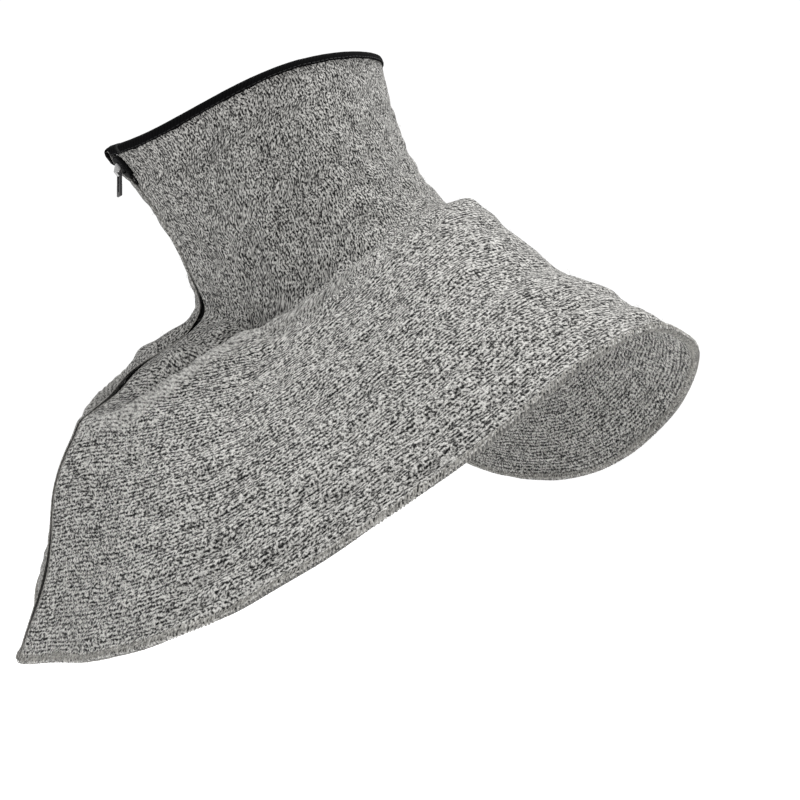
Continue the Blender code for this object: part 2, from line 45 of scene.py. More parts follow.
# sizes of the cloth and of the zip, in metres, as the solids have them
shape = {
    "neckRadius": 0.066, "collarRise": 0.129, "collarLean": 0.044,
    "yokeReach": 0.206, "yokeDrop": 0.168,
    "keelRise": 0.012, "keelSpread": 0.018, "keelTip": 0.0032,
    "knitWall": 0.0019, "hemWall": 0.0030, "hemBand": 0.005, "hemStep": 0.0012,
    "zipOpening": 0.0020,
    "edgeBow": 0.0042, "edgeBowAt": 0.0108, "edgeBowLength": 0.0095, "edgeBowPower": 4,
    "fit": 0.0003, "bindingWall": 0.0008, "bindingLeg": 0.0036, "bindingShown": 0.0029,
    "chainWidth": 0.0044, "chainWall": 0.0015, "chainBelow": 0.0006,
    "tapeWall": 0.0007, "tapeReach": 0.0140, "tapeInset": 0.0010,
    "sliderWidth": 0.0074, "sliderLength": 0.0115, "sliderPlate": 0.0028,
    "sliderNeck": 0.0022, "sliderBelow": 0.0006,
    "crownWidth": 0.0020, "crownRise": 0.0042, "crownWall": 0.0011, "crownLength": 0.0066,
    "stopLength": 0.0032, "stopAbove": 0.0026,
}

# run from the rim (0) to the hem (1), ahead, keel, then out and up at six stations round one side:
# front, chest, arm, shoulder, blade, back; all but the run are shares of the sizes above
collarSections = (
    (0.000, 1.00, 0.70,
     (0.950, 0.985, 1.00, 1.00, 1.045, 1.075),
     (0.548, 0.592, 0.748, 0.884, 0.969, 1.0)),
    (0.088, 0.82, 0.90,
     (0.800, 0.865, 0.97, 0.985, 1.015, 1.045),
     (0.412, 0.442, 0.597, 0.736, 0.822, 0.853)),
    (0.175, 0.61, 1.00,
     (0.727, 0.785, 0.955, 0.97, 1.00, 1.015),
     (0.279, 0.287, 0.419, 0.574, 0.659, 0.690)),
    (0.263, 0.34, 0.95,
     (0.748, 0.795, 0.97, 0.985, 1.015, 1.015),
     (0.124, 0.101, 0.233, 0.426, 0.519, 0.550)),
    (0.340, 0.09, 0.85,
     (0.855, 0.875, 1.03, 1.06, 1.075, 1.06),
     (-0.023, -0.078, 0.070, 0.325, 0.413, 0.434)),
)
yokeSections = (
    (0.446, 0.00, 0.75,
     (0.424, 0.400, 0.437, 0.456, 0.422, 0.408),
     (-0.155, -0.161, -0.024, 0.240, 0.238, 0.226)),
    (0.579, 0.00, 0.70,
     (0.555, 0.523, 0.573, 0.612, 0.534, 0.495),
     (-0.315, -0.327, -0.149, 0.126, 0.071, 0.048)),
    (0.719, 0.00, 0.80,
     (0.610, 0.637, 0.699, 0.774, 0.650, 0.573),
     (-0.542, -0.530, -0.298, 0.012, -0.101, -0.155)),
    (0.860, 0.00, 0.85,
     (0.655, 0.710, 0.791, 0.891, 0.743, 0.631),
     (-0.792, -0.726, -0.440, -0.074, -0.280, -0.369)),
    (1.000, 0.00, 0.85,
     (0.694, 0.763, 0.850, 0.996, 0.816, 0.680),
     (-1.000, -0.896, -0.546, -0.143, -0.452, -0.583)),
)

# side, at, spread in degrees from the front, run, length along the run, then out and up as shares
folds = (
    ("both", 0, 7, 1.000, 0.105, 0.018, -0.018),
    ("both", 0, 10, 0.705, 0.085, 0.026, 0.000),
    ("right", 25, 10, 1.000, 0.080, -0.024, 0.000),
    ("both", 55, 16, 1.000, 0.140, 0.000, 0.018),
    ("both", 86, 14, 1.000, 0.140, 0.000, -0.026),
    ("both", 99, 12, 1.000, 0.140, 0.000, 0.030),
    ("left", 112, 22, 0.425, 0.060, 0.000, 0.018),
    ("right", 114, 22, 0.430, 0.060, 0.000, 0.015),
    ("left", 108, 20, 0.639, 0.055, 0.000, -0.028),
    ("right", 106, 22, 0.630, 0.060, 0.000, -0.024),
    ("left", 66, 20, 0.230, 0.060, -0.007, 0.000),
    ("right", 74, 22, 0.210, 0.060, -0.006, 0.000),
    ("both", 0, 12, 0.450, 0.090, -0.016, -0.010),
    ("right", 17, 12, 0.455, 0.100, 0.024, 0.022),
    ("both", 0, 5.5, 0.392, 0.058, -0.027, -0.012),
    ("left", 140, 14, 0.800, 0.160, 0.010, 0.000),
    ("right", 136, 14, 0.820, 0.160, 0.012, 0.000),
)

# where the cloth leaves the neck for the collarbone: degrees, run, shares of the hollow and the ridge
collarboneLine = (
    (0, 0.600, 0.25, 0.20),
    (9, 0.592, 0.50, 0.60),
    (17, 0.562, 0.90, 1.00),
    (24, 0.500, 1.00, 1.00),
    (33, 0.418, 0.70, 1.00),
    (48, 0.368, 0.20, 0.85),
    (68, 0.358, 0.00, 0.60),
    (92, 0.372, 0.00, 0.00),
    (180, 0.372, 0.00, 0.00),
)
collarbone = {
    "hollow": 0.0110, "hollowAhead": 0.050, "hollowLength": 0.045,
    "ridge": 0.0050, "ridgeAfter": 0.012, "ridgeLength": 0.017,
    # painted light in the knit's colour: where along the run the painted shade above the line and the painted
    # highlight on the ridge lie, how wide, and the shares of the shade
    "paintedShadeAhead": 0.034, "paintedShadeLength": 0.032, "highlightAfter": 0.014, "highlightLength": 0.026,
    "paintedShadeShares": (0.4, 0.6),
}

# where the front gapes or closes: run, length, what each edge gives
gapes = (
    (0.190, 0.070, -0.0006),
    (0.367, 0.050, 0.0036),
    (0.432, 0.015, -0.0009),
    (0.512, 0.053, 0.0030),
    (0.620, 0.090, 0.0012),
    (0.860, 0.080, 0.0020),
)


def sectionTable():
    # rows of the two section tables with their shares turned into metres
    rows = []
    for group, outSize, upSize in (
        (collarSections, shape["neckRadius"], shape["collarRise"]),
        (yokeSections, shape["yokeReach"], shape["yokeDrop"]),
    ):
        for run, ahead, keel, out, up in group:
            row = [run, ahead * shape["collarLean"], keel * shape["keelRise"]]
            rows.append(row + [share * outSize for share in out] + [share * upSize for share in up])
    return np.array(rows)


def slopesOf(rows):
    return np.gradient(rows[:, 1:], rows[:, 0], axis=0)


def blendRows(rows, slopes, at):
    # smooth blend of a table's rows, whose first column is where each stands
    where, values = rows[:, 0], rows[:, 1:]
    i = np.clip(np.searchsorted(where, at, side="right") - 1, 0, len(where) - 2)
    gap = (where[i + 1] - where[i])[..., None]
    s = (at - where[i])[..., None] / gap
    start = (2 * s ** 3 - 3 * s ** 2 + 1) * values[i] + (s ** 3 - 2 * s ** 2 + s) * gap * slopes[i]
    end = (-2 * s ** 3 + 3 * s ** 2) * values[i + 1] + (s ** 3 - s ** 2) * gap * slopes[i + 1]
    return start + end


sections = sectionTable()
sectionSlopes = slopesOf(sections)
lineTable = np.array(collarboneLine, float)
lineSlopes = slopesOf(lineTable)
stationCount = 6
waveNumbers = np.arange(stationCount)
toWaves = np.linalg.inv(np.cos(np.outer(np.linspace(0.0, math.pi, stationCount), waveNumbers)))


def turnedFrom(angle):
    # degrees from the front, to the left or the right
    return (np.degrees(angle) + 180.0) % 360.0 - 180.0


def hump(value, middle, length):
    return np.exp(-((value - middle) / length) ** 2)


def collarboneShift(turned, run):
    # how far the cloth moves out and up, equally, beside the line of the collarbone
    where, hollow, ridge = np.moveaxis(blendRows(lineTable, lineSlopes, np.abs(turned)), -1, 0)
    past = run - where
    down = hollow * collarbone["hollow"] * hump(past, -collarbone["hollowAhead"], collarbone["hollowLength"])
    rise = ridge * collarbone["ridge"] * hump(past, collarbone["ridgeAfter"], collarbone["ridgeLength"])
    return (rise - down) / math.sqrt(2)


def collarbonePaintedLight(angle, run):
    # painted light in the knit's colour: painted shade darkens the hollow above the line, and a painted
    # highlight makes the loops on the ridge paler and more even
    where, hollow, ridge = np.moveaxis(blendRows(lineTable, lineSlopes, np.abs(turnedFrom(angle))), -1, 0)
    past = run - where
    # painted shade: shares of the ridge and of the hollow darken the knit above the line
    ridgeShare, hollowShare = collarbone["paintedShadeShares"]
    sunk = np.clip(ridgeShare * ridge + hollowShare * hollow, 0.0, 1.0)
    sunk = sunk * hump(past, -collarbone["paintedShadeAhead"], collarbone["paintedShadeLength"])
    return sunk, ridge * hump(past, collarbone["highlightAfter"], collarbone["highlightLength"])


def foldShift(angle, run):
    turned = turnedFrom(angle)
    out = collarboneShift(turned, run)
    up = out.copy()
    for side, at, spread, where, length, moreOut, moreUp in folds:
        signs = {"left": (1,), "right": (-1,), "both": (1, -1) if at else (1,)}[side]
        for sign in signs:
            weight = np.exp(-(((turned - sign * at) / spread) ** 2 + ((run - where) / length) ** 2))
            out = out + weight * moreOut * shape["yokeReach"]
            up = up + weight * moreUp * shape["yokeDrop"]
    return out, up


def together(angle, run):
    return np.broadcast_arrays(np.asarray(angle, float), np.asarray(run, float))


def cloth(angle, run):
    # middle of the cloth, round the neck by angle (0 at the front) and from rim to hem by run
    angle, run = together(angle, run)
    row = blendRows(sections, sectionSlopes, np.clip(run, 0.0, 1.0))
    waves = np.cos(angle[..., None] * waveNumbers)
    out = ((row[..., 2:2 + stationCount] @ toWaves.T) * waves).sum(-1)
    up = ((row[..., 2 + stationCount:] @ toWaves.T) * waves).sum(-1)
    moreOut, moreUp = foldShift(angle, run)
    out = out + moreOut
    x = out * np.sin(angle)
    y = -row[..., 0] - out * np.cos(angle)
    keel = row[..., 1] * np.exp(-np.hypot(x, shape["keelTip"]) / shape["keelSpread"])
    y = y - np.where(np.cos(angle) > 0, keel, 0.0)
    return np.stack([x, y, up + moreUp], -1)


# small unevenness of a soft knit: slow waves by height in metres and wavelengths in degrees and runs
ripple = {
    "height": 0.00075, "seed": 11, "count": 16, "degrees": (9, 40), "runs": (0.05, 0.22),
    "calmFront": (2.0, 14.0), "calmRim": (0.0, 0.06),
}


def rippleWaves():
    rng = np.random.default_rng(ripple["seed"])
    waves = []
    for _ in range(ripple["count"]):
        turns = max(1, round(360.0 / rng.uniform(*ripple["degrees"])))
        perRun = rng.choice((-1, 1)) * 2 * math.pi / rng.uniform(*ripple["runs"])
        waves.append((turns, perRun, rng.uniform(0, 2 * math.pi), rng.uniform(0.4, 1.0)))
    return waves


rippleTable = rippleWaves()


def smoothStep(low, high, value):
    t = np.clip((value - low) / (high - low), 0.0, 1.0)
    return t * t * (3 - 2 * t)


def unevenness(angle, run):
    total = sum(
        size * np.sin(turns * angle + perRun * run + phase)
        for turns, perRun, phase, size in rippleTable
    )
    total = total / math.sqrt(len(rippleTable) / 2)
    calm = smoothStep(*ripple["calmFront"], np.abs(turnedFrom(angle))) * smoothStep(*ripple["calmRim"], run)
    return ripple["height"] * total * calm


def normalOf(place, angle, run, turn=1e-3, step=1e-3):
    low, high = np.clip(run - step, 0.0, 1.0), np.clip(run + step, 0.0, 1.0)
    across = place(angle + turn, run) - place(angle - turn, run)
    along = place(angle, high) - place(angle, low)
    normal = np.cross(across, along)
    return -normal / np.linalg.norm(normal, axis=-1, keepdims=True)


def softCloth(angle, run):
    angle, run = together(angle, run)
    return cloth(angle, run) + unevenness(angle, run)[..., None] * normalOf(cloth, angle, run)


def offset(angle, run, depth):
    # a point off the middle of the cloth, outwards where depth is positive
    angle, run = together(angle, run)
    return softCloth(angle, run) + np.asarray(depth, float)[..., None] * normalOf(softCloth, angle, run)


def angleAt(x, run):
    # the angle at which the cloth is x to the side of the centre line
    angle = np.full(np.shape(run), 1e-3) * np.sign(x)
    for _ in range(8):
        reach = cloth(angle, run)[..., 0] / np.sin(angle)
        angle = np.arcsin(np.clip(x / reach, -0.9, 0.9))
        angle = np.where(np.abs(angle) < 1e-6, 1e-6, angle)
    return angle


def angleBehind(x, run, depth):
    # the same for a face that lies depth inside the middle of the cloth
    angle = angleAt(x, run)
    for _ in range(4):
        angle = angleAt(x + depth * normalOf(cloth, angle, run)[..., 0], run)
    return angle


# distance down the centre front, to turn lengths in metres into runs and back
frontRuns = np.linspace(0.0, 1.0, 300)
frontPoints = cloth(np.zeros_like(frontRuns), frontRuns)
frontLine = np.concatenate([[0.0], np.cumsum(np.linalg.norm(np.diff(frontPoints, axis=0), axis=1))])


def runBelowRim(distance):
    return np.interp(distance, frontLine, frontRuns)


def runAboveHem(distance):
    return runBelowRim(frontLine[-1] - distance)


def belowRim(run):
    return np.interp(run, frontRuns, frontLine)


def edgeAt(run):
    # how far each front edge stands from the centre line
    below = (belowRim(run) - shape["edgeBowAt"]) / shape["edgeBowLength"]
    gape = sum(wider * np.exp(-((run - at) / length) ** 2) for at, length, wider in gapes)
    return shape["zipOpening"] / 2 + gape + shape["edgeBow"] * np.exp(-np.abs(below) ** shape["edgeBowPower"])


hemRun = float(runAboveHem(shape["hemBand"]))
hemStepRun = float(runAboveHem(shape["hemBand"] + shape["hemStep"]))


def wallAt(run):
    return shape["knitWall"] + (shape["hemWall"] - shape["knitWall"]) * smoothStep(hemStepRun, hemRun, run)


def put(tree, kind, sockets=None, **settings):
    # a node with its settings, and with its sockets linked or set
    node = tree.nodes.new(kind)
    for name, value in settings.items():
        setattr(node, name, value)
    for name, value in (sockets or {}).items():
        if isinstance(value, bpy.types.NodeSocket):
            tree.links.new(value, node.inputs[name])
        else:
            node.inputs[name].default_value = value
    return node


def calc(tree, operation, *values):
    node = put(tree, "ShaderNodeMath", dict(enumerate(values)), operation=operation)
    return node.outputs[0]


def ranged(tree, value, fromLow, fromHigh, toLow, toHigh, smooth=False):
    sockets = {"Value": value, "From Min": fromLow, "From Max": fromHigh, "To Min": toLow, "To Max": toHigh}
    kind = "SMOOTHSTEP" if smooth else "LINEAR"
    return put(tree, "ShaderNodeMapRange", sockets, interpolation_type=kind).outputs[0]


def mixed(tree, factor, first, second, blend="MIX"):
    node = put(tree, "ShaderNodeMix", data_type="RGBA", blend_type=blend)
    for index, value in ((0, factor), (6, first), (7, second)):
        if isinstance(value, bpy.types.NodeSocket):
            tree.links.new(value, node.inputs[index])
        else:
            node.inputs[index].default_value = value if index == 0 else (*value, 1.0)
    return node.outputs[2]


def newGroup(name, inputs, outputs):
    group = bpy.data.node_groups.new(name, "ShaderNodeTree")
    for label, kind, default in inputs:
        socket = group.interface.new_socket(label, in_out="INPUT", socket_type=kind)
        if default is not None:
            socket.default_value = default
    for label, kind in outputs:
        group.interface.new_socket(label, in_out="OUTPUT", socket_type=kind)
    return group, group.nodes.new("NodeGroupInput"), group.nodes.new("NodeGroupOutput")


stitchLook = {
    "wanderScale": 190.0, "dashScale": 2.2, "holeScale": 1.25, "holeSpread": 0.85,
    "detail": 1.0, "rough": 0.6,
    "dash": (0.34, 0.66), "hole": (0.05, 0.50), "thinnest": 0.4, "gap": (0.05, 0.36),
}


def makeStitchGroup():
    # slanting dashes of yarn with dark holes among them, in metres of cloth
    group, given, result = newGroup(
        "knitStitch",
        (("Vector", "NodeSocketVector", None), ("Row", "NodeSocketFloat", 0.0021),
         ("Loop", "NodeSocketFloat", 0.0042), ("Wander", "NodeSocketFloat", 0.0006),
         ("Slant", "NodeSocketFloat", 0.2), ("Rough", "NodeSocketFloat", 0.7),
         ("Seed", "NodeSocketFloat", 0.0)),
        (("Height", "NodeSocketFloat"), ("Tone", "NodeSocketFloat"), ("Gap", "NodeSocketFloat")),
    )
    value = given.outputs
    noise = {"Detail": stitchLook["detail"], "Roughness": stitchLook["rough"]}
    wander = {"Vector": value["Vector"], "Scale": stitchLook["wanderScale"], **noise}
    slow = put(group, "ShaderNodeTexNoise", wander).outputs["Color"]
    shift = put(group, "ShaderNodeVectorMath", {0: slow, 1: (0.5, 0.5, 0.5)}, operation="SUBTRACT").outputs[0]
    shift = {0: shift, "Scale": value["Wander"]}
    shift = put(group, "ShaderNodeVectorMath", shift, operation="SCALE").outputs[0]
    moved = put(group, "ShaderNodeVectorMath", {0: value["Vector"], 1: shift}, operation="ADD")
    parts = put(group, "ShaderNodeSeparateXYZ", {0: moved.outputs[0]})
    up = calc(group, "DIVIDE", parts.outputs[1], value["Row"])
    across = calc(group, "DIVIDE", parts.outputs[0], value["Loop"])
    slanted = calc(group, "ADD", up, calc(group, "MULTIPLY", across, value["Slant"]))
    cell = put(group, "ShaderNodeCombineXYZ", {0: across, 1: slanted, 2: value["Seed"]}).outputs[0]
    dash = put(group, "ShaderNodeTexNoise", {"Vector": cell, "Scale": stitchLook["dashScale"], **noise})
    holes = {"Vector": cell, "Scale": stitchLook["holeScale"], "Randomness": stitchLook["holeSpread"]}
    hole = put(group, "ShaderNodeTexVoronoi", holes)
    row = calc(group, "SINE", calc(group, "MULTIPLY", up, 2 * math.pi))
    streak = ranged(group, dash.outputs[0], *stitchLook["dash"], 0.0, 1.0)
    full = ranged(group, hole.outputs["Distance"], *stitchLook["hole"], 0.0, 1.0, True)
    rowPart = calc(group, "MULTIPLY", calc(group, "SUBTRACT", 1.0, value["Rough"]), 0.5)
    rowPart = calc(group, "MULTIPLY", calc(group, "ADD", row, 1.0), rowPart)
    lined = calc(group, "ADD", calc(group, "MULTIPLY", streak, value["Rough"]), rowPart)
    full = calc(group, "MULTIPLY_ADD", full, 1.0 - stitchLook["thinnest"], stitchLook["thinnest"])
    height = calc(group, "MULTIPLY", lined, full)
    tone = put(group, "ShaderNodeSeparateColor", {0: hole.outputs["Color"]})
    group.links.new(height, result.inputs["Height"])
    group.links.new(tone.outputs[0], result.inputs["Tone"])
    group.links.new(ranged(group, height, *stitchLook["gap"], 1.0, 0.0, True), result.inputs["Gap"])
    return group


def makeFuzzGroup():
    # fine fibres and a slow noise, for every cloth and thread
    group, given, result = newGroup(
        "fibreFuzz",
        (("Vector", "NodeSocketVector", None), ("Scale", "NodeSocketFloat", 1500.0)),
        (("Fine", "NodeSocketFloat"), ("Slow", "NodeSocketFloat")),
    )
    place = {"Vector": given.outputs["Vector"], "Detail": 3.0}
    fine = put(group, "ShaderNodeTexNoise", {**place, "Scale": given.outputs["Scale"], "Roughness": 0.7})
    slow = put(group, "ShaderNodeTexNoise", {**place, "Scale": 22.0, "Roughness": 0.55})
    group.links.new(fine.outputs[0], result.inputs["Fine"])
    group.links.new(slow.outputs[0], result.inputs["Slow"])
    return group


stitchGroup = makeStitchGroup()
fuzzGroup = makeFuzzGroup()


def fibres(tree, scale):
    place = put(tree, "ShaderNodeTexCoord").outputs["Object"]
    return put(tree, "ShaderNodeGroup", {"Vector": place, "Scale": scale}, node_tree=fuzzGroup).outputs


def painted(tree, name):
    # a value that a piece's mesh carries at its points
    return put(tree, "ShaderNodeAttribute", attribute_name=name).outputs["Fac"]


def addBump(tree, shader, height, distance, strength):
    bump = put(tree, "ShaderNodeBump", {"Height": height, "Distance": distance, "Strength": strength})
    tree.links.new(bump.outputs[0], shader.inputs["Normal"])


def newMaterial(name, constants):
    material = bpy.data.materials.new(name)
    material.use_nodes = True
    shader = material.node_tree.nodes["Principled BSDF"]
    for label, value in constants.items():
        shader.inputs[label].default_value = value
    return material, material.node_tree, shader


knitLook = {
    "yoke": {"Row": 0.0019, "Loop": 0.0021, "Wander": 0.0012, "Slant": 0.15, "Rough": 0.70, "Seed": 3.0},
    "collar": {"Row": 0.0017, "Loop": 0.0024, "Wander": 0.0017, "Slant": 0.10, "Rough": 0.78, "Seed": 9.0},
    "light": (0.84, 0.826, 0.793), "middle": (0.30, 0.295, 0.282), "dark": (0.030, 0.030, 0.029),
    "gap": (0.004, 0.004, 0.004), "bump": 0.0008, "fibreScale": 1300.0, "fibreBump": 0.3,
    "darkToMiddle": (0.15, 0.43), "middleToLight": (0.39, 0.74), "tone": 0.12, "patches": 0.2,
    # the last value of the next row is how much painted shade darkens the knit in the hollow beside the
    # collarbone
    "fibreShade": (0.72, 1.28), "paintedShade": 0.30,
    # painted highlight on the collarbone ridge: how far the loops are evened, the paler level they go to, and
    # how much of their dark gaps is closed
    "highlightEven": 0.62, "highlightLevel": 0.66, "highlightClose": 0.75,
    "shader": {"Roughness": 0.95, "Sheen Weight": 0.10, "Sheen Roughness": 0.6, "Specular IOR Level": 0.15},
}

# length of a row of stitches, in metres, which grows in bands from the foot of the collar to the hem
rowLength = {"collar": 0.46, "growth": 1.0, "from": 0.36, "bands": 26.0}


def knitPlace(tree):
    # metres along the row and up from the hem, from the share of the row that the mesh's uv holds
    uv = put(tree, "ShaderNodeUVMap", uv_map="knit").outputs[0]
    uv = put(tree, "ShaderNodeSeparateXYZ", {0: uv}).outputs
    band = calc(tree, "FLOOR", calc(tree, "MULTIPLY", painted(tree, "run"), rowLength["bands"]))
    band = calc(tree, "DIVIDE", band, rowLength["bands"])
    grown = calc(tree, "MAXIMUM", calc(tree, "SUBTRACT", band, rowLength["from"]), 0.0)
    length = calc(tree, "MULTIPLY_ADD", grown, rowLength["growth"], rowLength["collar"])
    return put(tree, "ShaderNodeCombineXYZ", {0: calc(tree, "MULTIPLY", uv[0], length), 1: uv[1]}).outputs[0]


def lessBy(tree, value, share, mask):
    # the value, made smaller by a share of itself where the mask is 1
    return calc(tree, "MULTIPLY", value, calc(tree, "SUBTRACT", 1.0, calc(tree, "MULTIPLY", mask, share)))


def makeKnitMaterial():
    material, tree, shader = newMaterial("heatherKnit", knitLook["shader"])
    uv = knitPlace(tree)
    fuzz = fibres(tree, knitLook["fibreScale"])
    quarter = {"Vector": uv, "Angle": math.pi / 2}
    turned = put(tree, "ShaderNodeVectorRotate", quarter, rotation_type="Z_AXIS").outputs[0]
    yoke, collar = [
        put(tree, "ShaderNodeGroup", {"Vector": place, **knitLook[part]}, node_tree=stitchGroup).outputs
        for part, place in (("yoke", uv), ("collar", turned))
    ]
    patches = ranged(tree, fuzz["Slow"], 0.3, 0.7, -knitLook["patches"], knitLook["patches"])
    share = ranged(tree, calc(tree, "ADD", painted(tree, "collarShare"), patches), 0.4, 0.6, 0.0, 1.0, True)
    height, tone, gap = [
        put(tree, "ShaderNodeMix", {0: share, 2: yoke[label], 3: collar[label]}).outputs[0]
        for label in ("Height", "Tone", "Gap")
    ]
    level = calc(tree, "ADD", height, ranged(tree, tone, 0.0, 1.0, -knitLook["tone"], knitLook["tone"]))
    # painted highlight on the collarbone ridge: the loops there are evened and paler, and their dark gaps
    # partly closed
    paintedHighlight = painted(tree, "paintedHighlight")
    even = calc(tree, "MULTIPLY", paintedHighlight, knitLook["highlightEven"])
    level = put(tree, "ShaderNodeMix", {0: even, 2: level, 3: knitLook["highlightLevel"]}).outputs[0]
    gap = lessBy(tree, gap, knitLook["highlightClose"], paintedHighlight)
    first = ranged(tree, level, *knitLook["darkToMiddle"], 0.0, 1.0)
    second = ranged(tree, level, *knitLook["middleToLight"], 0.0, 1.0)
    colour = mixed(tree, second, mixed(tree, first, knitLook["dark"], knitLook["middle"]), knitLook["light"])
    shade = ranged(tree, fuzz["Fine"], 0.3, 0.7, *knitLook["fibreShade"])
    # painted shade: the knit is made darker in the hollow beside the collarbone
    shade = lessBy(tree, shade, knitLook["paintedShade"], painted(tree, "sunk"))
    shade = put(tree, "ShaderNodeCombineColor", {0: shade, 1: shade, 2: shade}).outputs[0]
    colour = mixed(tree, gap, mixed(tree, 1.0, colour, shade, "MULTIPLY"), knitLook["gap"])
    tree.links.new(colour, shader.inputs["Base Color"])
    relief = calc(tree, "MULTIPLY_ADD", fuzz["Fine"], knitLook["fibreBump"], height)
    addBump(tree, shader, relief, knitLook["bump"], 1.0)
    return material


def makeTapeMaterial(name, colour, rise, rib, fold=None):
    # narrow woven tape: fine ribs, a little worn, with a paler line where its end is folded
    constants = {"Roughness": 0.9, "Sheen Weight": 0.01, "Specular IOR Level": 0.08}
    material, tree, shader = newMaterial(name, constants)
    fuzz = fibres(tree, 2500.0)
    uv = put(tree, "ShaderNodeUVMap", uv_map="knit").outputs[0]
    ribs = {"Vector": uv, "Scale": rib / 6.28, "Distortion": 0.6, "Detail": 1.0}
    weave = put(tree, "ShaderNodeTexWave", ribs, bands_direction="DIAGONAL").outputs["Fac"]
    tint = calc(tree, "MULTIPLY", weave, ranged(tree, fuzz["Fine"], 0.3, 0.7, 0.4, 1.0))
    colour = mixed(tree, tint, colour, rise)
    if fold:
        colour = mixed(tree, painted(tree, "endFold"), colour, fold)
    tree.links.new(colour, shader.inputs["Base Color"])
    addBump(tree, shader, calc(tree, "MULTIPLY_ADD", fuzz["Fine"], 0.5, weave), 0.00012, 0.8)
    return material


def makeThreadMaterial(name, dark, light, roughness=0.9):
    constants = {"Roughness": roughness, "Sheen Weight": 0.15, "Specular IOR Level": 0.25}
    material, tree, shader = newMaterial(name, constants)
    fine = fibres(tree, 900.0)["Fine"]
    colour = mixed(tree, ranged(tree, fine, 0.38, 0.62, 0.0, 1.0, True), dark, light)
    tree.links.new(colour, shader.inputs["Base Color"])
    addBump(tree, shader, fine, 0.0002, 0.7)
    return material


def makeHardMaterial(name, colour, worn, roughness, metallic=1.0, specular=0.5):
    # metal, or nylon where metallic is 0, a little worn
    material, tree, shader = newMaterial(name, {"Metallic": metallic, "Specular IOR Level": specular})
    fine = fibres(tree, 700.0)["Fine"]
    wear = ranged(tree, fine, 0.5, 0.68, 0.0, 0.8, True)
    tree.links.new(mixed(tree, wear, colour, worn), shader.inputs["Base Color"])
    rough = ranged(tree, fine, 0.3, 0.7, roughness - 0.08, roughness + 0.14)
    tree.links.new(rough, shader.inputs["Roughness"])
    addBump(tree, shader, fine, 0.00005, 0.4)
    return material


# tapes: colour, colour of the raised ribs, ribs a metre, colour of the end fold
bindingLook = ((0.0016, 0.0016, 0.0018), (0.0055, 0.0055, 0.006), 2200.0, (0.10, 0.10, 0.098))
tapeLook = ((0.004, 0.004, 0.0045), (0.014, 0.014, 0.015), 2600.0)
# hard pieces: colour, colour where worn, roughness, metallic, specular
teethLook = ((0.012, 0.012, 0.013), (0.03, 0.03, 0.032), 0.38, 0.0)
sliderLook = ((0.004, 0.004, 0.0045), (0.012, 0.012, 0.012), 0.55, 0.0, 0.12)
crownLook = ((0.62, 0.62, 0.62), (0.78, 0.78, 0.77), 0.24)
pullLook = ((0.075, 0.075, 0.078), (0.16, 0.14, 0.12), 0.34)
stopLook = ((0.05, 0.05, 0.052), (0.12, 0.12, 0.12), 0.40)

knitMaterial = makeKnitMaterial()
bindingMaterial = makeTapeMaterial("blackBinding", *bindingLook)
tapeMaterial = makeTapeMaterial("zipTape", *tapeLook)
edgeYarn = makeThreadMaterial("edgeYarn", (0.22, 0.215, 0.20), (0.56, 0.545, 0.51))
blackThread = makeThreadMaterial("blackThread", (0.008, 0.008, 0.009), (0.03, 0.03, 0.032), 0.7)
teethMaterial = makeHardMaterial("teethNylon", *teethLook)
sliderMaterial = makeHardMaterial("sliderMetal", *sliderLook)
crownMaterial = makeHardMaterial("crownMetal", *crownLook)
pullMaterial = makeHardMaterial("pullMetal", *pullLook)
stopMaterial = makeHardMaterial("stopMetal", *stopLook)
print("materials made:", len(bpy.data.materials))


def newPiece(name, points, faces, material, uvs=None, values=None):
    # a smooth closed mesh with its faces outwards
    mesh = bpy.data.meshes.new(name)
    mesh.from_pydata(np.asarray(points).tolist(), [], faces)
    if uvs is not None:
        layer = mesh.uv_layers.new(name="knit")
        corners = np.empty(len(mesh.loops), dtype=np.int64)
        mesh.loops.foreach_get("vertex_index", corners)
        layer.data.foreach_set("uv", np.asarray(uvs, np.float32)[corners].ravel())
    for label, numbers in (values or {}).items():
        attribute = mesh.attributes.new(label, "FLOAT", "POINT")
        attribute.data.foreach_set("value", np.asarray(numbers, np.float32))
    mesh.shade_smooth()
    mesh.materials.append(material)
    obj = bpy.data.objects.new(name, mesh)
    bpy.context.scene.collection.objects.link(obj)
    graph = bmesh.new()
    graph.from_mesh(mesh)
    if graph.calc_volume(signed=True) < 0:
        bmesh.ops.reverse_faces(graph, faces=graph.faces)
        graph.to_mesh(mesh)
    graph.free()
    return obj


def gridFaces(rows, columns, start=0, turned=False):
    i, j = np.meshgrid(np.arange(rows - 1), np.arange(columns - 1), indexing="ij")
    a = start + i * columns + j
    quads = np.stack([a, a + 1, a + columns + 1, a + columns], -1).reshape(-1, 4)
    return (quads[:, ::-1] if turned else quads).tolist()


def ringFaces(start, rows, ring):
    # sides and both ends of a loft of closed rings
    faces = []
    for i in range(rows - 1):
        low, high = start + i * ring, start + (i + 1) * ring
        for j in range(ring):
            k = (j + 1) % ring
            faces.append((low + j, low + k, high + k, high + j))
    faces.append(tuple(start + j for j in reversed(range(ring))))
    faces.append(tuple(start + (rows - 1) * ring + j for j in range(ring)))
    return faces


def stitchedBorder(fine, coarse, turned=False):
    # joins a border of the outer face to one of the inner face with half as many steps
    faces = []
    for k in range(len(coarse) - 1):
        a, b, c = fine[2 * k:2 * k + 3]
        for face in ((a, b, coarse[k]), (b, coarse[k + 1], coarse[k]), (b, c, coarse[k + 1])):
            faces.append(tuple(reversed(face)) if turned else face)
    return faces


def unit(vectors):
    return vectors / np.linalg.norm(vectors, axis=-1, keepdims=True)


def distanceAlong(points):
    # metres along a row of points, from its first one
    return np.concatenate([[0.0], np.cumsum(np.linalg.norm(np.diff(points, axis=0), axis=1))])


